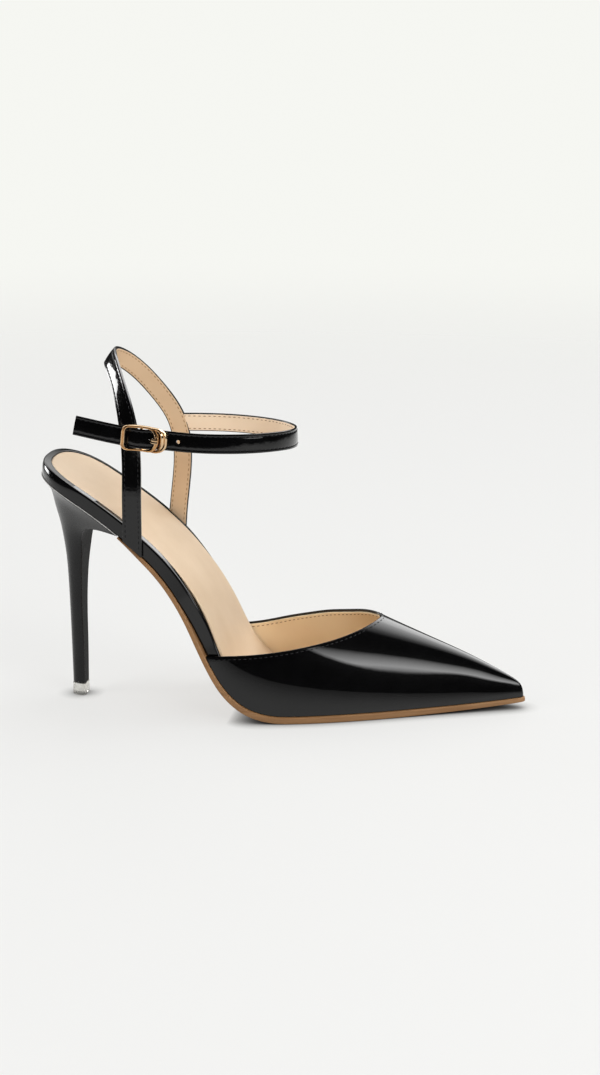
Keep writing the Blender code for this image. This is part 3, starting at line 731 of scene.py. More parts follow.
toe_x = float(np.interp(LAST_LENGTH, line_s, line_x))
print("toe end x in mm:", round(toe_x, 1))


def vamp_point(x, t):
    """Points of the vamp in the upright plane at x; t runs from -1 (outer) to 1 (inner)."""
    s = np.interp(x, line_x, line_s)
    left = edge_y(s, OUTER)
    right = edge_y(s, INNER)
    across = np.sin(np.pi * t / 2)
    low = np.interp(s, line_s, line_z)
    left_to_toe = np.clip(toe_x - x, 0, None)
    nose = np.sqrt(left_to_toe / (left_to_toe + NOSE_LENGTH))
    rise = np.clip(1 - across**2, 0, None)**(1 / fullness(x))
    middle = (left + right) / 2
    lean = (crest_y(x) - middle) * (1 - across**2)
    bulge = WALL_BULGE * BULGE_SCALE * nose * across * rise * (1 - rise)**2
    height = (crest_z(x) - low) * nose * rise
    draw_in = WALL_LEAN * nose * across * (1 - np.exp(-height / LEAN_HEIGHT))
    y = middle + (right - left) / 2 * across + lean + bulge - draw_in
    return np.stack([x + 0 * y, y, low + height], -1)


def topline_x(t):
    """The x where the vamp, at each t, reaches its top edge, found by halving."""
    low = np.full(t.shape, VAMP_BACK_X)
    high = np.full(t.shape, THROAT_LIMIT_X)
    for _ in range(HALVINGS):
        x = (low + high) / 2
        top = np.where(t < 0, topline_z[OUTER](x), topline_z[INNER](x))
        above = vamp_point(x, t)[:, 2] > top
        low = np.where(above, x, low)
        high = np.where(above, high, x)
    return (low + high) / 2


# %% Vamp edge frame
VAMP_ACROSS = 240
EDGE_NUDGE = 0.2


def unit(vectors):
    """Vectors of the same directions and of length one."""
    return vectors / np.maximum(np.linalg.norm(vectors, axis=-1, keepdims=True), 1e-9)


def walked(line):
    """The way walked along a line of points, at each of them."""
    return np.r_[0, np.cumsum(np.linalg.norm(np.diff(line, axis=0), axis=1))]


vamp_t = np.linspace(-1, 1, VAMP_ACROSS + 1)
edge_x = topline_x(vamp_t)
edge_points = vamp_point(edge_x, vamp_t)
edge_run = unit(np.gradient(edge_points, axis=0))
edge_rate = (vamp_point(edge_x + EDGE_NUDGE, vamp_t) - edge_points) / EDGE_NUDGE
edge_normal = unit(np.cross(edge_rate, edge_run))
edge_up = unit(np.cross(edge_normal, edge_run))
edge_up *= np.sign(-np.sum(edge_up * edge_rate, axis=1, keepdims=True))
print("vamp top edge length in mm:", round(float(walked(edge_points)[-1]), 1))

# %% Vamp shells
LEATHER_DEPTH = 1.15
WALL = 1.8
LEATHER_SETBACK = 0.5
LINING_SETBACK = 1.1
MOST_SETBACK = 5.0
LINING_END = 28.0
VAMP_ALONG = 170
LINING_ALONG = 90
VAMP_SPACING = 1.6
ROLL_STEPS = 10
TOE_TAPER = 8.0
TAPER_POWER = 0.7


def vamp_sheet(setback, end_x, along):
    """A grid of points and normals from just under the top edge to end_x."""
    share = -np.sum(edge_rate * edge_up, axis=1)
    start = edge_x + np.minimum(setback / np.maximum(share, 1e-3), MOST_SETBACK)
    left = (1 - np.linspace(0, 1, along + 1))**VAMP_SPACING
    x = end_x - (end_x - start)[:, None] * left[None, :]
    t = np.repeat(vamp_t[:, None], along + 1, axis=1)
    points = vamp_point(x, t)
    normals = unit(np.cross(np.gradient(points, axis=1), np.gradient(points, axis=0)))
    normals[:, -1] = normals[:, -2]
    return points, normals


def vamp_shell(name, setback, outside, inside, end_x, along, finish, slot, stands_for=()):
    """A closed shell between two depths under the vamp's surface, with a rolled top edge."""
    points, normals = vamp_sheet(setback, end_x, along)
    taper = np.clip((toe_x - points[..., :1]) / TOE_TAPER, 0, 1)**TAPER_POWER
    outer = points - normals * outside * taper
    inner = points - normals * inside * taper
    middle = (outer[:, 0] + inner[:, 0]) / 2
    out = outer[:, 0] - middle
    radius = np.linalg.norm(out, axis=1, keepdims=True)
    roll = [middle + out * math.cos(turn) + edge_up * radius * math.sin(turn)
            for turn in np.linspace(0, np.pi, ROLL_STEPS + 1)[1:-1]]
    rows = np.concatenate([outer[:, ::-1], np.stack(roll, 1), inner], 1)
    return make_piece(name, *ring_tube(rows), finish, slot, stands_for, sharp=60)


vamp_shell("vamp_patent", LEATHER_SETBACK, 0.0, LEATHER_DEPTH, toe_x, VAMP_ALONG,
           smooth_patent, "black_patent", ["vamp"])
vamp_shell("vamp_lining", LINING_SETBACK, LEATHER_DEPTH, WALL, toe_x - LINING_END, LINING_ALONG,
           vamp_lining_lightened, "beige_lining")

# %% [markdown]
# ## Heel
# The heel is a loft of D-shaped sections: a flat breast at the front and a round back. At the top the
# sections melt into the edge of the footbed. The corner between the breast and the side is a small arc,
# because a knife edge would not catch the thin dark and light lines that run down the real heel.

# %% Heel sections
HEEL_SECTIONS = (  # share of the way down, back x, back z, front x, front z, half width
    (0.00, -13.8, 104.0, 22.4, 80.2, 28.0), (0.10, -10.6, 98.0, 13.5, 81.2, 22.0),
    (0.20, -9.2, 90.0, 7.0, 79.6, 16.0), (0.30, -7.6, 82.5, 4.9, 75.2, 12.0),
    (0.42, -6.0, 73.4, 4.2, 68.2, 9.2), (0.56, -4.7, 62.0, 3.4, 58.8, 7.2),
    (0.72, -3.9, 43.0, 2.9, 42.0, 5.6), (0.88, -3.4, 22.0, 3.1, 22.0, 4.7),
    (1.00, -3.1, 5.7, 3.1, 5.7, 4.1))
SEAT_FRONT = 47.8
RIM_PROUD = 0.15
SEAT_BLEND = 0.34
SECTION_FULLNESS = 0.9
CORNER_STEPS = 5
BACK_STEPS = 34
HEEL_RINGS = 130
HEEL_CORNER = 0.7
RIM_EASE = 0.012


def d_section(length, half, corner):
    """One side of a D: distance back from the breast and half width, from the breast to the back."""
    turns = np.linspace(0, np.pi / 2, CORNER_STEPS + 1)
    rows = [(corner - corner * math.cos(a), half - corner + corner * math.sin(a)) for a in turns]
    first = math.asin(min(1.0, corner / length))
    for turn in np.linspace(first, np.pi / 2, BACK_STEPS + 1)[1:]:
        share = math.sin(turn)
        power = SECTION_FULLNESS + (1 - SECTION_FULLNESS) * share**4
        rows.append((length * share, half * max(0.0, math.cos(turn))**power))
    return np.array(rows)


def d_ring(back, front, half, corner):
    """A closed ring around a D between a front and a back point, given as x and z."""
    back = np.array(back)
    front = np.array(front)
    length = float(np.linalg.norm(back - front))
    side = d_section(length, half, corner)
    share = side[:, :1] / length
    place = front + (back - front) * share
    outer = np.stack([place[:, 0], -side[:, 1], place[:, 1]], 1)
    inner = outer[-2::-1] * (1, -1, 1)
    return np.concatenate([outer, inner])


def seat_ring(proud, height):
    """A ring round the heel seat, some way past the footbed's lower edge."""
    start = HEEL_END + float(footbed_tuck(0)) - proud
    length = SEAT_FRONT - start
    side = d_section(length, 1.0, HEEL_CORNER / length)
    s = SEAT_FRONT - side[:, 0]
    cut = np.zeros(len(s))
    turns = np.linspace(0, np.pi / 2, CORNER_STEPS + 1)
    cut[:CORNER_STEPS + 1] = HEEL_CORNER * (1 - np.sin(turns))
    edges = {}
    for edge in (OUTER, INNER):
        y = edge_y(s, edge, -footbed_tuck(s) + proud) - edge * cut
        edges[edge] = on_last(s, y, height)
    return np.concatenate([edges[OUTER], edges[INNER][-2::-1]])


def ring_stack(name, rings, finish, slot, stands_for=()):
    """A piece whose walls join a stack of rings, closed by the first and the last of them."""
    return make_piece(name, *ring_tube(rings), finish, slot, stands_for, sharp=50)


# %% Heel block
heel_columns = [smooth_curve(HEEL_SECTIONS, k) for k in range(1, 6)]
heel_rings = []
seat = seat_ring(RIM_PROUD, -GAP)
top_ring = None
for share in np.linspace(0, 1, HEEL_RINGS + 1):
    back_x, back_z, front_x, front_z, half = (float(column(share)) for column in heel_columns)
    ring = d_ring((back_x, back_z), (front_x, front_z), half, HEEL_CORNER)
    if top_ring is None:
        top_ring = ring
    fade = max(0.0, 1 - share / SEAT_BLEND)**2
    heel_rings.append(ring + (seat - top_ring) * fade)
rim_inset = np.array(heel_rings[0])
rim_inset[:, :2] += (rim_inset[:, :2].mean(axis=0) - rim_inset[:, :2]) * RIM_EASE
heel_rings[0] = rim_inset
ring_stack("heel_block", heel_rings, lacquer, "black_heel", ["heel"])

# %% [markdown]
# The joint between the footbed and the heel shows as one thin light line. A narrow bead fills the gap
# between the two and stands a hair proud of both. Its light grey colour is a painted highlight, so the
# line shows light all the way along.

# %% Seat seam
SEAM_LEVELS = (  # reach past the footbed's lower edge, height
    (-0.8, -0.27), (0.2, -0.27), (0.36, -0.23), (0.44, -0.15), (0.36, -0.07), (0.2, -0.03), (-0.8, -0.03))
# Painted highlight: the bead's light grey colour stands in for the bright line along the joint.
seam_highlight_finish, seam_highlight_shader = new_finish("seam_painted_highlight", IOR=1.45)
seam_highlight_noise = add_noise(seam_highlight_finish, 500, 3.0)
colour_by(seam_highlight_finish, seam_highlight_noise, seam_highlight_shader.inputs["Base Color"], (0.52, 0.51, 0.49), (0.66, 0.65, 0.63))
value_by(seam_highlight_finish, seam_highlight_noise, seam_highlight_shader.inputs["Roughness"], 0.3, 0.45)
ring_stack("seat_seam", [seat_ring(*level) for level in SEAM_LEVELS], seam_highlight_finish, "black_heel")

# %% [markdown]
# The flat breast has its own cover, a matt strip of black leather that starts under the footbed and runs
# down to the tip.

# %% Breast cover
COVER_LIFT = 0.05
COVER_DEPTH = 0.3
COVER_COLUMNS = 8
matt_black, matt_shader = new_finish("black_breast_cover", IOR=1.3)
matt_shader.inputs["Specular IOR Level"].default_value = 0.15
matt_grain = add_noise(matt_black, 1300, 3.0)
colour_by(matt_black, matt_grain, matt_shader.inputs["Base Color"],
          (0.006, 0.006, 0.0063), (0.011, 0.011, 0.0115))
value_by(matt_black, matt_grain, matt_shader.inputs["Roughness"], 0.5, 0.65)
bump_by(matt_black, [(matt_grain, 0.15, 0.04)], matt_shader.inputs["Normal"])
near_edge = np.array([ring[0] for ring in heel_rings])
far_edge = np.array([ring[-1] for ring in heel_rings])
shares = np.linspace(0, 1, COVER_COLUMNS + 1)[None, :, None]
cover = near_edge[:, None] * (1 - shares) + far_edge[:, None] * shares
cover_run = np.gradient(cover, axis=0)
cover_out = unit(np.cross(np.gradient(cover, axis=1), cover_run))
cover_out *= np.sign(cover_out[-1, 0, 0])
front = cover + cover_out * COVER_LIFT
behind = cover - cover_out * COVER_DEPTH
cover_rings = np.concatenate([front, behind[:, ::-1]], 1)
ring_stack("heel_breast_cover", cover_rings, matt_black, "black_heel")

# %% [markdown]
# The tip under the heel is a little block of milky plastic of the same D shape, with its edges eased.

# %% Heel tip
TIP_BACK = -3.3
TIP_FRONT = 3.3
TIP_HALF_WIDTH = 4.3
TIP_CORNER = 0.8
TIP_LEVELS = (  # height, inset
    (0.0, 0.4), (0.12, 0.12), (0.4, 0.0), (2.0, 0.0), (5.1, 0.0), (5.32, 0.08), (5.4, 0.3))
tip_rings = [d_ring((TIP_BACK + inset, z), (TIP_FRONT - inset, z), TIP_HALF_WIDTH - inset, TIP_CORNER - inset)
             for z, inset in TIP_LEVELS]
ring_stack("heel_tip_milky", tip_rings, milky, "clear_tip", ["heel_tip"])

# %% [markdown]
# ## Straps
# A strap here is two layers: patent leather outside, with eased edges, and beige lining inside, cut a
# hair narrower. Both follow one route, close to that of the CAD source. At every step along the route
# there is a small frame: forwards, across the strap and out of it. A profile drawn in that frame and
# swept along gives the layer, and the rows of stitches use the same frame, so they sit in their grooves.
# The lean of a strap decides whether it mirrors the pale floor or the dark room, so the ankle strap looks
# slightly upwards at the buckle, where it is black, and less so at the front, where its lower half is grey.

# %% Routes
STRAP_WIDTH = 8.4
LOOP_THICKNESS = 2.0
ANKLE_THICKNESS = 1.6
LOOP_OUTER_X = 32.0
LOOP_INNER_X = 39.6
OUTER_FOOT_RISE = 10.0
INNER_FOOT_RISE = 12.0
INNER_FOOT_SHIFT = 0.8
FOOT_SHARE = 0.08
ANKLE_LEAN = (  # x, lean of the ankle strap's face upwards, in degrees
    (0, 6.5), (64, 6.5), (76, 4.6), (88, 2.6), (110, 2.6))
LOOP_STEPS = 420
ANKLE_STEPS = 520
LOOP_ROUTE = (  # x, y, z, facing (0 outer side, -90 back), lean upwards
    (32.1, -31.0, 98, 0, 0), (31.9, -29.5, 116, -3, 0), (30.3, -28.0, 130, -14, 3),
    (26.2, -22.4, 142.5, -36, 10), (20.6, -11.8, 152.2, -64, 26), (17.2, 0.0, 156.0, -90, 36),
    (20.2, 9.5, 153.0, -116, 30), (26.2, 18.2, 145.8, -142, 14), (33.6, 24.4, 135.4, -162, 6),
    (40.0, 28.0, 124.0, -174, 2), (42.6, 29.8, 112, -179, 0), (42.3, 30.6, 98, -180, 0))
ANKLE_ROUTE = (  # x, y, z
    (40.8, 28.5, 121.4), (52, 29.8, 121.4), (65, 29.8, 121.3), (78, 26.6, 121.1), (89, 19.6, 121.1),
    (96.6, 9.8, 121.3), (99.6, -1.0, 121.9), (98.6, -11.6, 122.6), (93.6, -21.4, 123.3),
    (84.5, -28.8, 123.6), (73, -32.8, 123.8), (60, -34.0, 124.1), (48.5, -33.2, 124.7),
    (43.5, -33.2, 125.0), (37.0, -34.7, 125.4), (30.5, -33.2, 126.1), (24, -33.0, 127.2),
    (16, -33.2, 128.8), (8, -32.8, 130.3))


def route_curve(rows, steps):
    """Even steps along a smooth route through the rows, all columns."""
    rows = np.array(rows, float)
    chord = walked(rows[:, :3])
    table = [(c, *row) for c, row in zip(chord, rows)]
    at = np.linspace(0, chord[-1], steps + 1)
    return np.stack([smooth_curve(table, k + 1)(at) for k in range(rows.shape[1])], 1)


def strap_foot(x, side):
    """A strap's end beside the footbed, as a row of the loop's route."""
    s = float(np.interp(x, line_x, line_s))
    y = float(edge_y(s, side)) + side * (GAP + LOOP_THICKNESS / 2)
    return (x, y, float(np.interp(s, line_s, line_z)) + GAP, 0 if side == OUTER else -180, 0)


def strap_frame(centres, normals, slants=0.0):
    """Centre, across and out vectors at every step of a strap."""
    forwards = unit(np.gradient(centres, axis=0))
    normals = unit(normals - forwards * np.sum(normals * forwards, axis=1, keepdims=True))
    across = np.cross(forwards, normals) + forwards * np.reshape(slants, (-1, 1))
    return centres, across, normals


# %% Heel strap and ankle strap frames
outer_foot = strap_foot(LOOP_OUTER_X, OUTER)
inner_foot = strap_foot(LOOP_INNER_X, INNER)
outer_rise = (*outer_foot[:2], outer_foot[2] + OUTER_FOOT_RISE, *outer_foot[3:])
inner_rise = (inner_foot[0] + INNER_FOOT_SHIFT, inner_foot[1], inner_foot[2] + INNER_FOOT_RISE,
              *inner_foot[3:])
loop_rows = [outer_foot, outer_rise, *LOOP_ROUTE, inner_rise, inner_foot]
loop_path = route_curve(loop_rows, LOOP_STEPS)
facing = np.radians(loop_path[:, 3])
lean = np.radians(loop_path[:, 4])
loop_out = np.stack([np.sin(facing) * np.cos(lean), -np.cos(facing) * np.cos(lean), np.sin(lean)], 1)
reach = np.linspace(0, 1, LOOP_STEPS + 1)
sole_slopes = [math.tan(np.interp(np.interp(x, line_x, line_s), line_s, line_angle))
               for x in (LOOP_OUTER_X, LOOP_INNER_X)]
loop_slants = (sole_slopes[0] * np.clip(1 - reach / FOOT_SHARE, 0, 1)
               - sole_slopes[1] * np.clip(1 - (1 - reach) / FOOT_SHARE, 0, 1))
loop_frame = strap_frame(loop_path[:, :3], loop_out, loop_slants)
ankle_path = route_curve(ANKLE_ROUTE, ANKLE_STEPS)
ankle_run = np.gradient(ankle_path, axis=0)
ankle_out = unit(np.stack([-ankle_run[:, 1], ankle_run[:, 0], np.zeros(len(ankle_path))], 1))
ankle_out[:, 2] = np.tan(np.radians(even_curve(ANKLE_LEAN)(ankle_path[:, 0])))
ankle_frame = strap_frame(ankle_path, ankle_out)
for label, path in (("heel strap", loop_path), ("ankle strap", ankle_path)):
    print(label, "length in mm:", round(float(walked(path[:, :3])[-1]), 1))

# %% Strap layers
STITCH_INSET = 1.25
GROOVE_DEPTH = 0.14
GROOVE_WIDTH = 0.35
STRAP_CROWN = 0.24
EDGE_ROUNDING = 0.3
FACE_STEPS = 40
EDGE_STEPS = 4
LINING_THICKNESS = 0.3
LINING_NARROWER = 0.45
LINING_EASE = 0.15
LINING_POINTS = 9


def leather_profile(thickness):
    """The patent layer: crowned face with two stitch grooves, eased upright edges and a flat back."""
    top = thickness / 2
    low = LINING_THICKNESS - thickness / 2
    half = STRAP_WIDTH / 2 - EDGE_ROUNDING
    w = np.linspace(half, -half, FACE_STEPS + 1)
    groove = np.exp(-((np.abs(w) - (STRAP_WIDTH / 2 - STITCH_INSET)) / GROOVE_WIDTH)**2)
    face = top - GROOVE_DEPTH * groove - STRAP_CROWN * (w / half)**2
    profile = list(zip(w, face))
    for side, height, start in ((-1, face[-1], 90), (-1, low + 2 * EDGE_ROUNDING, 180),
                                (1, low + 2 * EDGE_ROUNDING, 270), (1, face[-1], 0)):
        for turn in np.radians(np.linspace(start, start + 90, EDGE_STEPS + 1)):
            profile.append((side * half + EDGE_ROUNDING * math.cos(turn),
                            height - EDGE_ROUNDING + EDGE_ROUNDING * math.sin(turn)))
    return np.array(profile)


def lining_profile(thickness):
    """The lining layer: a thin band with eased edges."""
    low = -thickness / 2
    top = low + LINING_THICKNESS
    half = STRAP_WIDTH / 2 - LINING_NARROWER
    flat = half - 2 * LINING_EASE
    return np.array([(half, top), (-half, top), (-half, low + LINING_EASE), (-half + LINING_EASE, low),
                     *[(w, low) for w in np.linspace(-flat, flat, LINING_POINTS)],
                     (half - LINING_EASE, low), (half, low + LINING_EASE)])


def sweep(name, strap, profile, finish, slot, stands_for=()):
    """A profile, given across and out, swept along a strap and closed at both ends."""
    centres, across, out = strap
    rows = (centres[:, None] + across[:, None] * profile[None, :, :1] + out[:, None] * profile[None, :, 1:])
    size = len(profile)
    faces = grid_faces(len(centres), size, wrap_columns=True)
    faces += end_caps(0, (len(centres) - 1) * size, size)
    return make_piece(name, rows.reshape(-1, 3), faces, finish, slot, stands_for, sharp=60)


sweep("heel_strap", loop_frame, leather_profile(LOOP_THICKNESS), strap_patent, "black_patent", ["straps"])
sweep("heel_strap_lining", loop_frame, lining_profile(LOOP_THICKNESS), lining_leather, "beige_lining")
ankle_strap = sweep("ankle_strap", ankle_frame, leather_profile(ANKLE_THICKNESS), strap_patent,
                    "black_patent", ["straps"])
ankle_strap_lining = sweep("ankle_strap_lining", ankle_frame, lining_profile(ANKLE_THICKNESS), ankle_leather,
                           "beige_lining")

# %% [markdown]
# ### Punched holes
# The ankle strap has a hole that the prong comes through and another in front of the buckle. A Boolean
# with a short cylinder cuts each one through both layers, and its result is kept as the mesh.

# %% Punched holes
HOLE_RADIUS = 0.85
HOLE_DEPTH = 8.0
HOLE_SIDES = 32
HOLE_X = (41.6, 53.7)
NEAR_SIDE_Y = -20


def keep_shape(piece):
    """Turns a piece and its modifiers into one plain mesh."""
    ready = piece.evaluated_get(bpy.context.evaluated_depsgraph_get())
    mesh = bpy.data.meshes.new_from_object(ready)
    piece.modifiers.clear()
    piece.data = mesh


near_side = np.flatnonzero(ankle_path[:, 1] < NEAR_SIDE_Y)
for hole_x in HOLE_X:
    step = near_side[np.argmin(np.abs(ankle_path[near_side, 0] - hole_x))]
    bpy.ops.mesh.primitive_cylinder_add(vertices=HOLE_SIDES, radius=HOLE_RADIUS * MM, depth=HOLE_DEPTH * MM)
    punch = bpy.context.object
    punch.rotation_euler = Vector(ankle_frame[2][step]).to_track_quat("Z", "Y").to_euler()
    punch.location = Vector(ankle_path[step]) * MM
    for layer in (ankle_strap, ankle_strap_lining):
        cut = layer.modifiers.new("punch", "BOOLEAN")
        cut.operation = "DIFFERENCE"
        cut.solver = "EXACT"
        cut.object = punch
        keep_shape(layer)
    bpy.data.objects.remove(punch)
print("ankle strap after punching:", len(ankle_strap.data.polygons), "faces")

# %% [markdown]
# ### Stitches
# The thread shows as rows of short, rounded grains that dip into the leather at both ends. They could be
# painted with a bump, but real little grains throw their own glints and shadows, and all the grains of a
# row make one light mesh.

# %% Stitches
STITCH_PITCH = 2.3
STITCH_LENGTH = 1.75
THREAD_RADIUS = 0.2
GRAIN_RINGS = 7
GRAIN_SIDES = 6
GRAIN_SINK = 0.22
GRAIN_END = 0.02
STRAP_START = 2.0
STRAP_PROUD = 0.06
VAMP_PROUD = 0.04
LINING_PROUD = 0.02
VAMP_SEAM = 1.5
LINING_SEAM = 2.1


def stitch_points(line, out, start=0.0):
    """Points of the grains along a line; out points out of the leather at each of its points."""
    walk = walked(line)
    count = int((walk[-1] - start) / STITCH_PITCH)
    grains = []
    shares = np.linspace(-1, 1, GRAIN_RINGS)
    for k in range(count):
        at = start + (k + 0.5) * STITCH_PITCH + shares * STITCH_LENGTH / 2
        centre = np.stack([np.interp(at, walk, line[:, i]) for i in range(3)], 1)
        up = unit(np.stack([np.interp(at, walk, out[:, i]) for i in range(3)], 1))
        forwards = unit(np.gradient(centre, axis=0))
        side = np.cross(forwards, up)
        centre = centre - up * GRAIN_SINK * (shares**2)[:, None]
        thick = THREAD_RADIUS * np.sqrt(np.clip(1 - np.abs(shares)**3, GRAIN_END, 1))
        rings = [centre + thick[:, None] * (side * math.cos(a) + up * math.sin(a))
                 for a in np.linspace(0, 2 * np.pi, GRAIN_SIDES, endpoint=False)]
        grains.append(np.stack(rings, 1).reshape(-1, 3))
    return grains


def stitch_row(name, grains, finish, slot):
    """One mesh out of many grains of thread."""
    size = GRAIN_RINGS * GRAIN_SIDES
    faces = []
    for k in range(len(grains)):
        base = k * size
        faces += grid_faces(GRAIN_RINGS, GRAIN_SIDES, wrap_columns=True, first=base)
        faces += end_caps(base, base + size - GRAIN_SIDES, GRAIN_SIDES)
    print(name, "has", len(grains), "stitches")
    return make_piece(name, np.concatenate(grains), faces, finish, slot)


def strap_stitches(strap, across_at, out_at, flip=1):
    """Grains along a strap at a place across and out of it."""
    centres, across, out = strap
    return stitch_points(centres + across * across_at + out * out_at, out * flip, STRAP_START)


seam = STRAP_WIDTH / 2 - STITCH_INSET
patent_grains = []
lining_grains = []
for strap, thickness in ((loop_frame, LOOP_THICKNESS), (ankle_frame, ANKLE_THICKNESS)):
    for side in (-seam, seam):
        dip = GROOVE_DEPTH + STRAP_CROWN * (seam / (STRAP_WIDTH / 2 - EDGE_ROUNDING))**2
        patent_grains += strap_stitches(strap, side, thickness / 2 - dip + STRAP_PROUD)
        lining_grains += strap_stitches(strap, side, -thickness / 2 + LINING_PROUD, -1)
patent_line = edge_points - edge_up * VAMP_SEAM + edge_normal * VAMP_PROUD
patent_grains += stitch_points(patent_line, edge_normal)
lining_line = edge_points - edge_up * LINING_SEAM - edge_normal * (WALL + LINING_PROUD)
lining_grains += stitch_points(lining_line, -edge_normal)
stitch_row("black_stitches", patent_grains, black_thread, "black_patent")
stitch_row("brown_stitches", lining_grains, brown_thread, "beige_lining")

# %% [markdown]
# ## Buckle
# The buckle is a rounded frame that dips towards its middle bar, with a second end beside its front end.
# In the photograph its rim shows two bright lines with a darker one between them, so the frame is not a
# round wire: its section has two rounded ridges with a groove between them, swept round the frame's path.

# %% Buckle frame
BUCKLE_CENTRE = (37.0, -35.6, 125.5)
BUCKLE_TILT = 5.0
FRAME_LENGTH = 16.8
FRAME_HEIGHT = 11.3
BACK_CORNER = 2.4
FRONT_CORNER = 4.0
FRAME_BOW = 1.9
SECOND_DROP = 0.25
SECOND_TUCK = 0.12
BAR_RADIUS = 0.7
BAR_DEPTH = 3.1
BAR_STEP = 0.4
CORNER_TURNS = 14
SIDE_POINTS = 14
BAR_SIDES = 16
SIDE_BAND = 0.62
FRAME_END_BAND = 1.05
SECOND_END_BAND = 1.6
SECOND_EDGE = 12.1
BAND_DEPTH = 0.9
FRAME_SECTION = (  # across and out, as shares of half the bar's width and depth
    (-1.0, -0.6), (-1.0, 0.1), (-0.9, 0.42), (-0.62, 0.82), (-0.48, 0.86), (-0.36, 0.76), (-0.2, 0.45),
    (0.0, 0.32), (0.2, 0.45), (0.36, 0.76), (0.48, 0.86), (0.62, 0.82), (0.9, 0.42), (1.0, 0.1), (1.0, -0.6),
    (0.7, -0.95), (-0.7, -0.95))


def buckle_point(along, up, inwards):
    """A point in the buckle's own plane: along the strap, up, and in towards the ankle."""
    tilt = math.radians(BUCKLE_TILT)
    x = BUCKLE_CENTRE[0] + along * math.cos(tilt) + up * math.sin(tilt)
    z = BUCKLE_CENTRE[2] - along * math.sin(tilt) + up * math.cos(tilt)
    return (x, BUCKLE_CENTRE[1] + inwards, z)


def frame_bow(along):
    """How far the frame's long sides dip in towards the bar."""
    return FRAME_BOW * max(0.0, 1 - (along / (FRAME_LENGTH / 2))**2)**2


def corner_turn(along, up, start, radius):
    """A quarter turn of the path into a corner, whose straight lines would meet at along and up."""
    middle = (along - math.copysign(radius, along), up - math.copysign(radius, up))
    turns = np.radians(np.linspace(start, start + 90, CORNER_TURNS + 1))
    return [(middle[0] + radius * math.cos(a), middle[1] + radius * math.sin(a)) for a in turns]


def band_widths(path, end_band):
    """Half width of a band at every point of its path in the buckle's plane: slim sides, wide ends."""
    run = unit(np.gradient(np.array(path), axis=0))
    return SIDE_BAND + (end_band - SIDE_BAND) * run[:, 1]**2


def rod(path, section, widths, closed):
    """Points and faces of a section, widened point by point, along a path that faces the outer side."""
    path = np.array(path, float)
    if closed:
        run = np.roll(path, -1, axis=0) - np.roll(path, 1, axis=0)
    else:
        run = np.gradient(path, axis=0)
    run = unit(run)
    out = unit(np.array((0.0, -1.0, 0.0)) + run * run[:, 1:2])
    side = np.cross(run, out) * np.reshape(widths, (-1, 1))
    section = np.array(section)
    rows = path[:, None] + side[:, None] * section[None, :, :1] + out[:, None] * section[None, :, 1:]
    size = len(section)
    faces = grid_faces(len(path), size, wrap_rows=closed, wrap_columns=True)
    if not closed:
        faces += end_caps(0, (len(path) - 1) * size, size)
    return rows.reshape(-1, 3), faces


def round_section(radius):
    """A round section, for the bar."""
    turns = np.linspace(0, 2 * np.pi, BAR_SIDES, endpoint=False)
    return [(radius * math.cos(a), radius * math.sin(a)) for a in turns]


# %% Buckle pieces
half_length = FRAME_LENGTH / 2 - FRAME_END_BAND
half_height = FRAME_HEIGHT / 2 - SIDE_BAND
side_start = half_length - FRONT_CORNER
along_side = np.linspace(side_start, BACK_CORNER - half_length, SIDE_POINTS)[1:-1]
frame_path = corner_turn(half_length, half_height, 0, FRONT_CORNER)
frame_path += [(along, half_height) for along in along_side]
frame_path += corner_turn(-half_length, half_height, 90, BACK_CORNER)
frame_path += corner_turn(-half_length, -half_height, 180, BACK_CORNER)
frame_path += [(along, -half_height) for along in along_side[::-1]]
frame_path += corner_turn(half_length, -half_height, 270, FRONT_CORNER)
frame_line = [buckle_point(a, u, frame_bow(a)) for a, u in frame_path]
second_height = half_height - SECOND_TUCK
second_length = SECOND_EDGE - SECOND_END_BAND
second_path = [(side_start, -second_height), *corner_turn(second_length, -second_height, -90, FRONT_CORNER),
               *corner_turn(second_length, second_height, 0, FRONT_CORNER), (side_start, second_height)]
second_line = [buckle_point(a, u, frame_bow(min(a, half_length))) for a, u in second_path]
bar_line = [buckle_point(0, up, depth) for up, depth in (
    (second_height, FRAME_BOW), (half_height - BAR_STEP, BAR_DEPTH), (0, BAR_DEPTH),
    (BAR_STEP - half_height, BAR_DEPTH), (-second_height, FRAME_BOW))]
frame_section = [(a, o * BAND_DEPTH) for a, o in FRAME_SECTION]
second_section = [(a, o * BAND_DEPTH - SECOND_DROP) for a, o in FRAME_SECTION]
buckle_points = []
buckle_faces = []
for line, section, widths, closed in (
        (frame_line, frame_section, band_widths(frame_path, FRAME_END_BAND), True),
        (second_line, second_section, band_widths(second_path, SECOND_END_BAND), False),
        (bar_line, round_section(BAR_RADIUS), 1.0, False)):
    points, faces = rod(line, section, widths, closed)
    base = sum(len(p) for p in buckle_points)
    buckle_points.append(points)
    buckle_faces += [tuple(base + i for i in face) for face in faces]
make_piece("buckle_gold", np.concatenate(buckle_points), buckle_faces, gold, "gold_metal",
           ["buckle_frame"], sharp=35)

# %% [markdown]
# The prong comes out of its hole and lies on the frame's front end. Its section is a low arch, which
# gives it two bright edges.

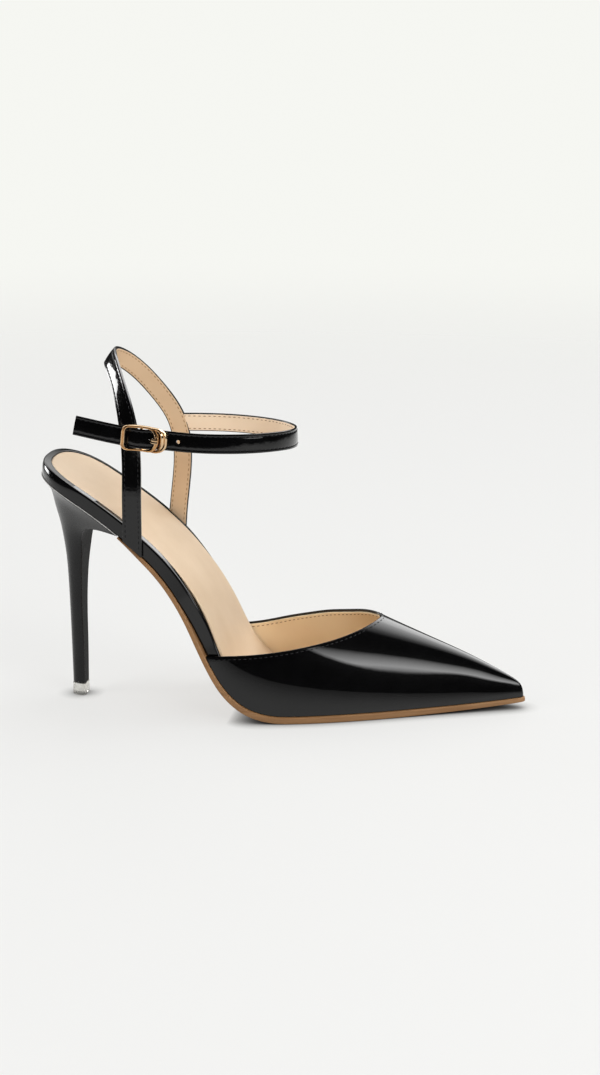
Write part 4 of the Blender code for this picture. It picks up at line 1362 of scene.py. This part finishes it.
# %% Buckle prong
PRONG_BAND = 1.1
PRONG_DEPTH = 0.75
PRONG_HOLE_X = 4.6
PRONG_CLEARANCE = 0.2
PRONG_OVERHANG = 0.9
PRONG_LANDING = 1.6
PRONG_BEND = (  # along from the hole, inwards
    (-0.4, 3.2), (0, 0.9), (0.5, -0.6))
PRONG_STEPS = 30
prong_rest = -BAND_DEPTH - PRONG_DEPTH - PRONG_CLEARANCE
prong_rows = [buckle_point(PRONG_HOLE_X + along, 0, inwards) for along, inwards in PRONG_BEND]
prong_rows += [buckle_point(PRONG_HOLE_X + PRONG_LANDING, 0, prong_rest),
               buckle_point(half_length + PRONG_OVERHANG, 0, prong_rest)]
prong_line = route_curve(prong_rows, PRONG_STEPS)
prong_section = [(a, o * PRONG_DEPTH) for a, o in FRAME_SECTION]
prong_points, prong_faces = rod(prong_line, prong_section, PRONG_BAND, False)
make_piece("buckle_prong_gold", prong_points, prong_faces, gold, "gold_metal", ["buckle_prong"], sharp=50)

# %% [markdown]
# ## Floor and studio light
# The photograph has an even, off-white ground that melts into the background. The floor is a wide disc
# that glows a little, as a lit table does, so shadows stay soft. A glow alone would also light the gap
# under the toe, so an ambient occlusion node dims it, and the floor's own colour, wherever the shoe is
# close above. A power deepens the shade in the glow. The floor fades out with distance and towards
# grazing views, so no edge shows.

# %% Nodes for floor and room


def fade_node(tree, source, span):
    """A soft step from 0 at the start of a span to 1 at its end."""
    step = tree.nodes.new("ShaderNodeMapRange")
    step.interpolation_type = "SMOOTHSTEP"
    step.inputs["From Min"].default_value = span[0]
    step.inputs["From Max"].default_value = span[1]
    tree.links.new(source, step.inputs["Value"])
    return step.outputs["Result"]


def math_node(tree, operation, first, second):
    """An operation on a socket and either another socket or a plain number."""
    node = tree.nodes.new("ShaderNodeMath")
    node.operation = operation
    tree.links.new(first, node.inputs[0])
    if isinstance(second, float):
        node.inputs[1].default_value = second
    else:
        tree.links.new(second, node.inputs[1])
    return node.outputs["Value"]


def mix_node(tree, share, first, second):
    """A mix of two shaders: the first where the share is 0, the second where it is 1."""
    mix = tree.nodes.new("ShaderNodeMixShader")
    tree.links.new(share, mix.inputs["Fac"])
    tree.links.new(first, mix.inputs[1])
    tree.links.new(second, mix.inputs[2])
    return mix.outputs["Shader"]


# %% Floor
# Lengths of the floor and of the lamps are in metres.
FLOOR_RADIUS = 3.0
FLOOR_SIDES = 96
FLOOR_FADE = (0.6, 1.7)
GRAZING_FADE = (0.80, 1.08)
FLOOR_GLOW = 0.61
FLOOR_COLOUR = (0.22, 0.22, 0.217, 1.0)
SHADE_REACH = 0.008
SHADE_DEPTH = 1.6
bpy.ops.mesh.primitive_circle_add(vertices=FLOOR_SIDES, radius=FLOOR_RADIUS, fill_type="NGON")
floor = bpy.context.object
floor.name = "floor"
floor_finish, floor_shader = new_finish("pale_floor", Roughness=0.5)
floor_shader.inputs["Specular IOR Level"].default_value = 0.05
floor_shader.inputs["Emission Color"].default_value = (1.0, 1.0, 0.985, 1.0)
floor_tree = floor_finish.node_tree
# Painted contact shadow: ambient occlusion darkens the floor's colour and its glow where the shoe is close
# above.
floor_shade = floor_tree.nodes.new("ShaderNodeAmbientOcclusion")
floor_shade.inputs["Distance"].default_value = SHADE_REACH
floor_shade.inputs["Color"].default_value = FLOOR_COLOUR
floor_tree.links.new(floor_shade.outputs["Color"], floor_shader.inputs["Base Color"])
floor_deep = math_node(floor_tree, "POWER", floor_shade.outputs["AO"], SHADE_DEPTH)
floor_glow = math_node(floor_tree, "MULTIPLY", floor_deep, FLOOR_GLOW)
floor_tree.links.new(floor_glow, floor_shader.inputs["Emission Strength"])
floor_place = floor_tree.nodes.new("ShaderNodeTexCoord")
floor_reach = floor_tree.nodes.new("ShaderNodeVectorMath")
floor_reach.operation = "LENGTH"
floor_tree.links.new(floor_place.outputs["Object"], floor_reach.inputs[0])
floor_weight = floor_tree.nodes.new("ShaderNodeLayerWeight")
floor_far = fade_node(floor_tree, floor_reach.outputs["Value"], FLOOR_FADE)
floor_grazing = fade_node(floor_tree, floor_weight.outputs["Facing"], GRAZING_FADE)
floor_gone = math_node(floor_tree, "MAXIMUM", floor_far, floor_grazing)
floor_clear = floor_tree.nodes.new("ShaderNodeBsdfTransparent")
floor_mix = mix_node(floor_tree, floor_gone, floor_shader.outputs["BSDF"], floor_clear.outputs["BSDF"])
floor_tree.links.new(floor_mix, floor_tree.nodes["Material Output"].inputs["Surface"])
floor.data.materials.append(floor_finish)
print("floor radius in m:", FLOOR_RADIUS)

# %% [markdown]
# Black patent shows every lamp, so most of the light for the matt pieces comes from lamps that the patent
# does not mirror. The overhead key and two fills are hidden from reflections: they light the matt pieces
# and the floor, and leave no glint. A low strip behind the heel is seen in the coat, as the white glints
# on the heel strap and the seat.

# %% Softboxes
AIM = Vector((0.1, 0.0, 0.05))


def softbox(name, turn, rise, distance, width, height, brightness):
    """An area light of a given radiance; turn is counted from the camera side towards the toe."""
    light = bpy.data.lights.new(name, "AREA")
    light.shape = "RECTANGLE"
    light.size = width
    light.size_y = height
    light.energy = brightness * math.pi * width * height
    turn = math.radians(turn)
    rise = math.radians(rise)
    away = Vector((math.sin(turn) * math.cos(rise), -math.cos(turn) * math.cos(rise), math.sin(rise)))
    lamp = bpy.data.objects.new(name, light)
    lamp.location = AIM + away * distance
    lamp.rotation_euler = (-away).to_track_quat("-Z", "Y").to_euler()
    bpy.context.scene.collection.objects.link(lamp)
    print(name, "gives", round(light.energy, 1), "W")
    return lamp


HIDDEN_LAMPS = (  # name, turn, rise, distance, width, height, brightness
    ("overhead_key", 127, 73, 2.6, 1.2, 1.4, 4.0),
    ("front_fill", 50, 30, 2.5, 2.2, 1.6, 3.4),
    ("heel_side_fill", -60, 35, 2.5, 1.5, 1.5, 4.0))
for lamp in HIDDEN_LAMPS:
    softbox(*lamp).visible_glossy = False
softbox("heel_side_strip", -111, 6, 2.2, 0.95, 0.4, 11.0)

# %% [markdown]
# Two large panels draw the highlights on the vamp. A plain panel would mirror as a hard white block, so
# each is graded by ramps over its own face. The softbox on the toe side gives the band along the side; a
# slanted cut lets it start behind the throat. The panel behind the shoe gives the light on the ridge, and
# it is kept from lighting matt pieces.

# %% Graded panels


def grade(lamp, ramps):
    """Grades a panel's light by the product of two ramps, each along a direction over the panel."""
    lamp.data.use_nodes = True
    nodes = lamp.data.node_tree.nodes
    links = lamp.data.node_tree.links
    place = nodes.new("ShaderNodeNewGeometry")
    product = nodes.new("ShaderNodeVectorMath")
    product.operation = "MULTIPLY"
    for number, (direction, stops) in enumerate(ramps):
        along = nodes.new("ShaderNodeVectorMath")
        along.operation = "DOT_PRODUCT"
        along.inputs[1].default_value = direction
        ramp = nodes.new("ShaderNodeValToRGB")
        for k, (at, level) in enumerate(stops):
            element = ramp.color_ramp.elements[k] if k < 2 else ramp.color_ramp.elements.new(at)
            element.position = at
            element.color = (level, level, level, 1.0)
        links.new(place.outputs["Parametric"], along.inputs[0])
        links.new(along.outputs["Value"], ramp.inputs["Fac"])
        links.new(ramp.outputs["Color"], product.inputs[number])
    links.new(product.outputs["Vector"], nodes["Emission"].inputs["Color"])


TOE_SIDE_RAMPS = (
    ((1, 0.44, 0), ((0.45, 0.0), (0.54, 1.0))),
    ((0, 1, 0), ((0.0, 0.0), (1.0, 0.0), (0.35, 1.0), (0.56, 0.66), (0.76, 0.34), (0.94, 0.0))))
RIDGE_RAMPS = (
    ((1, 0, 0), ((0.12, 0.0), (1.0, 0.5), (0.235, 0.2), (0.34, 0.54), (0.47, 0.85), (0.6, 1.0), (0.8, 0.74))),
    ((0, 1, 0), ((0.0, 0.0), (0.15, 1.0))))
toe_side = softbox("toe_side_softbox", 45, 20, 2.2, 1.5, 0.66, 7.3)
grade(toe_side, TOE_SIDE_RAMPS)
ridge_panel = softbox("ridge_panel", 118, 45, 2.0, 3.4, 1.7, 5.8)
ridge_panel.visible_diffuse = False
grade(ridge_panel, RIDGE_RAMPS)

# %% [markdown]
# The room is dark on the camera's side, because black patent stays black between its highlights, with a
# pale wall high up at the back for the upward edges. What the camera itself sees is the even off-white of
# the photograph.

# %% Room
PALE = (0.92, 0.926, 0.887)
BACK_WALL = (1.5, 1.5, 1.48)
DARK = (0.02, 0.02, 0.0205)
BACK_EDGE = (0.28, 0.50)
BACK_LOWER_EDGE = (0.22, 0.50)
room = bpy.data.worlds.new("studio_room")
bpy.context.scene.world = room
room.use_nodes = True
room_tree = room.node_tree
room_place = room_tree.nodes.new("ShaderNodeTexCoord")
room_split = room_tree.nodes.new("ShaderNodeSeparateXYZ")
room_tree.links.new(room_place.outputs["Generated"], room_split.inputs["Vector"])
room_dark = room_tree.nodes["Background"]
room_back = room_tree.nodes.new("ShaderNodeBackground")
room_seen = room_tree.nodes.new("ShaderNodeBackground")
for backdrop, colour in ((room_dark, DARK), (room_back, BACK_WALL), (room_seen, PALE)):
    backdrop.inputs["Color"].default_value = (*colour, 1.0)
room_behind = fade_node(room_tree, room_split.outputs["Y"], BACK_EDGE)
room_high = fade_node(room_tree, room_split.outputs["Z"], BACK_LOWER_EDGE)
room_share = math_node(room_tree, "MULTIPLY", room_behind, room_high)
room_sides = mix_node(room_tree, room_share, room_dark.outputs["Background"], room_back.outputs["Background"])
room_path = room_tree.nodes.new("ShaderNodeLightPath")
room_mix = mix_node(room_tree, room_path.outputs["Is Camera Ray"], room_sides,
                    room_seen.outputs["Background"])
room_tree.links.new(room_mix, room_tree.nodes["World Output"].inputs["Surface"])
bpy.context.scene.view_settings.view_transform = "Standard"
bpy.context.scene.view_settings.look = "None"
print("room nodes:", len(room_tree.nodes))

# %% Size and finish
print("triangles:", sum(len(p.vertices) - 2 for piece in pieces for p in piece.data.polygons))
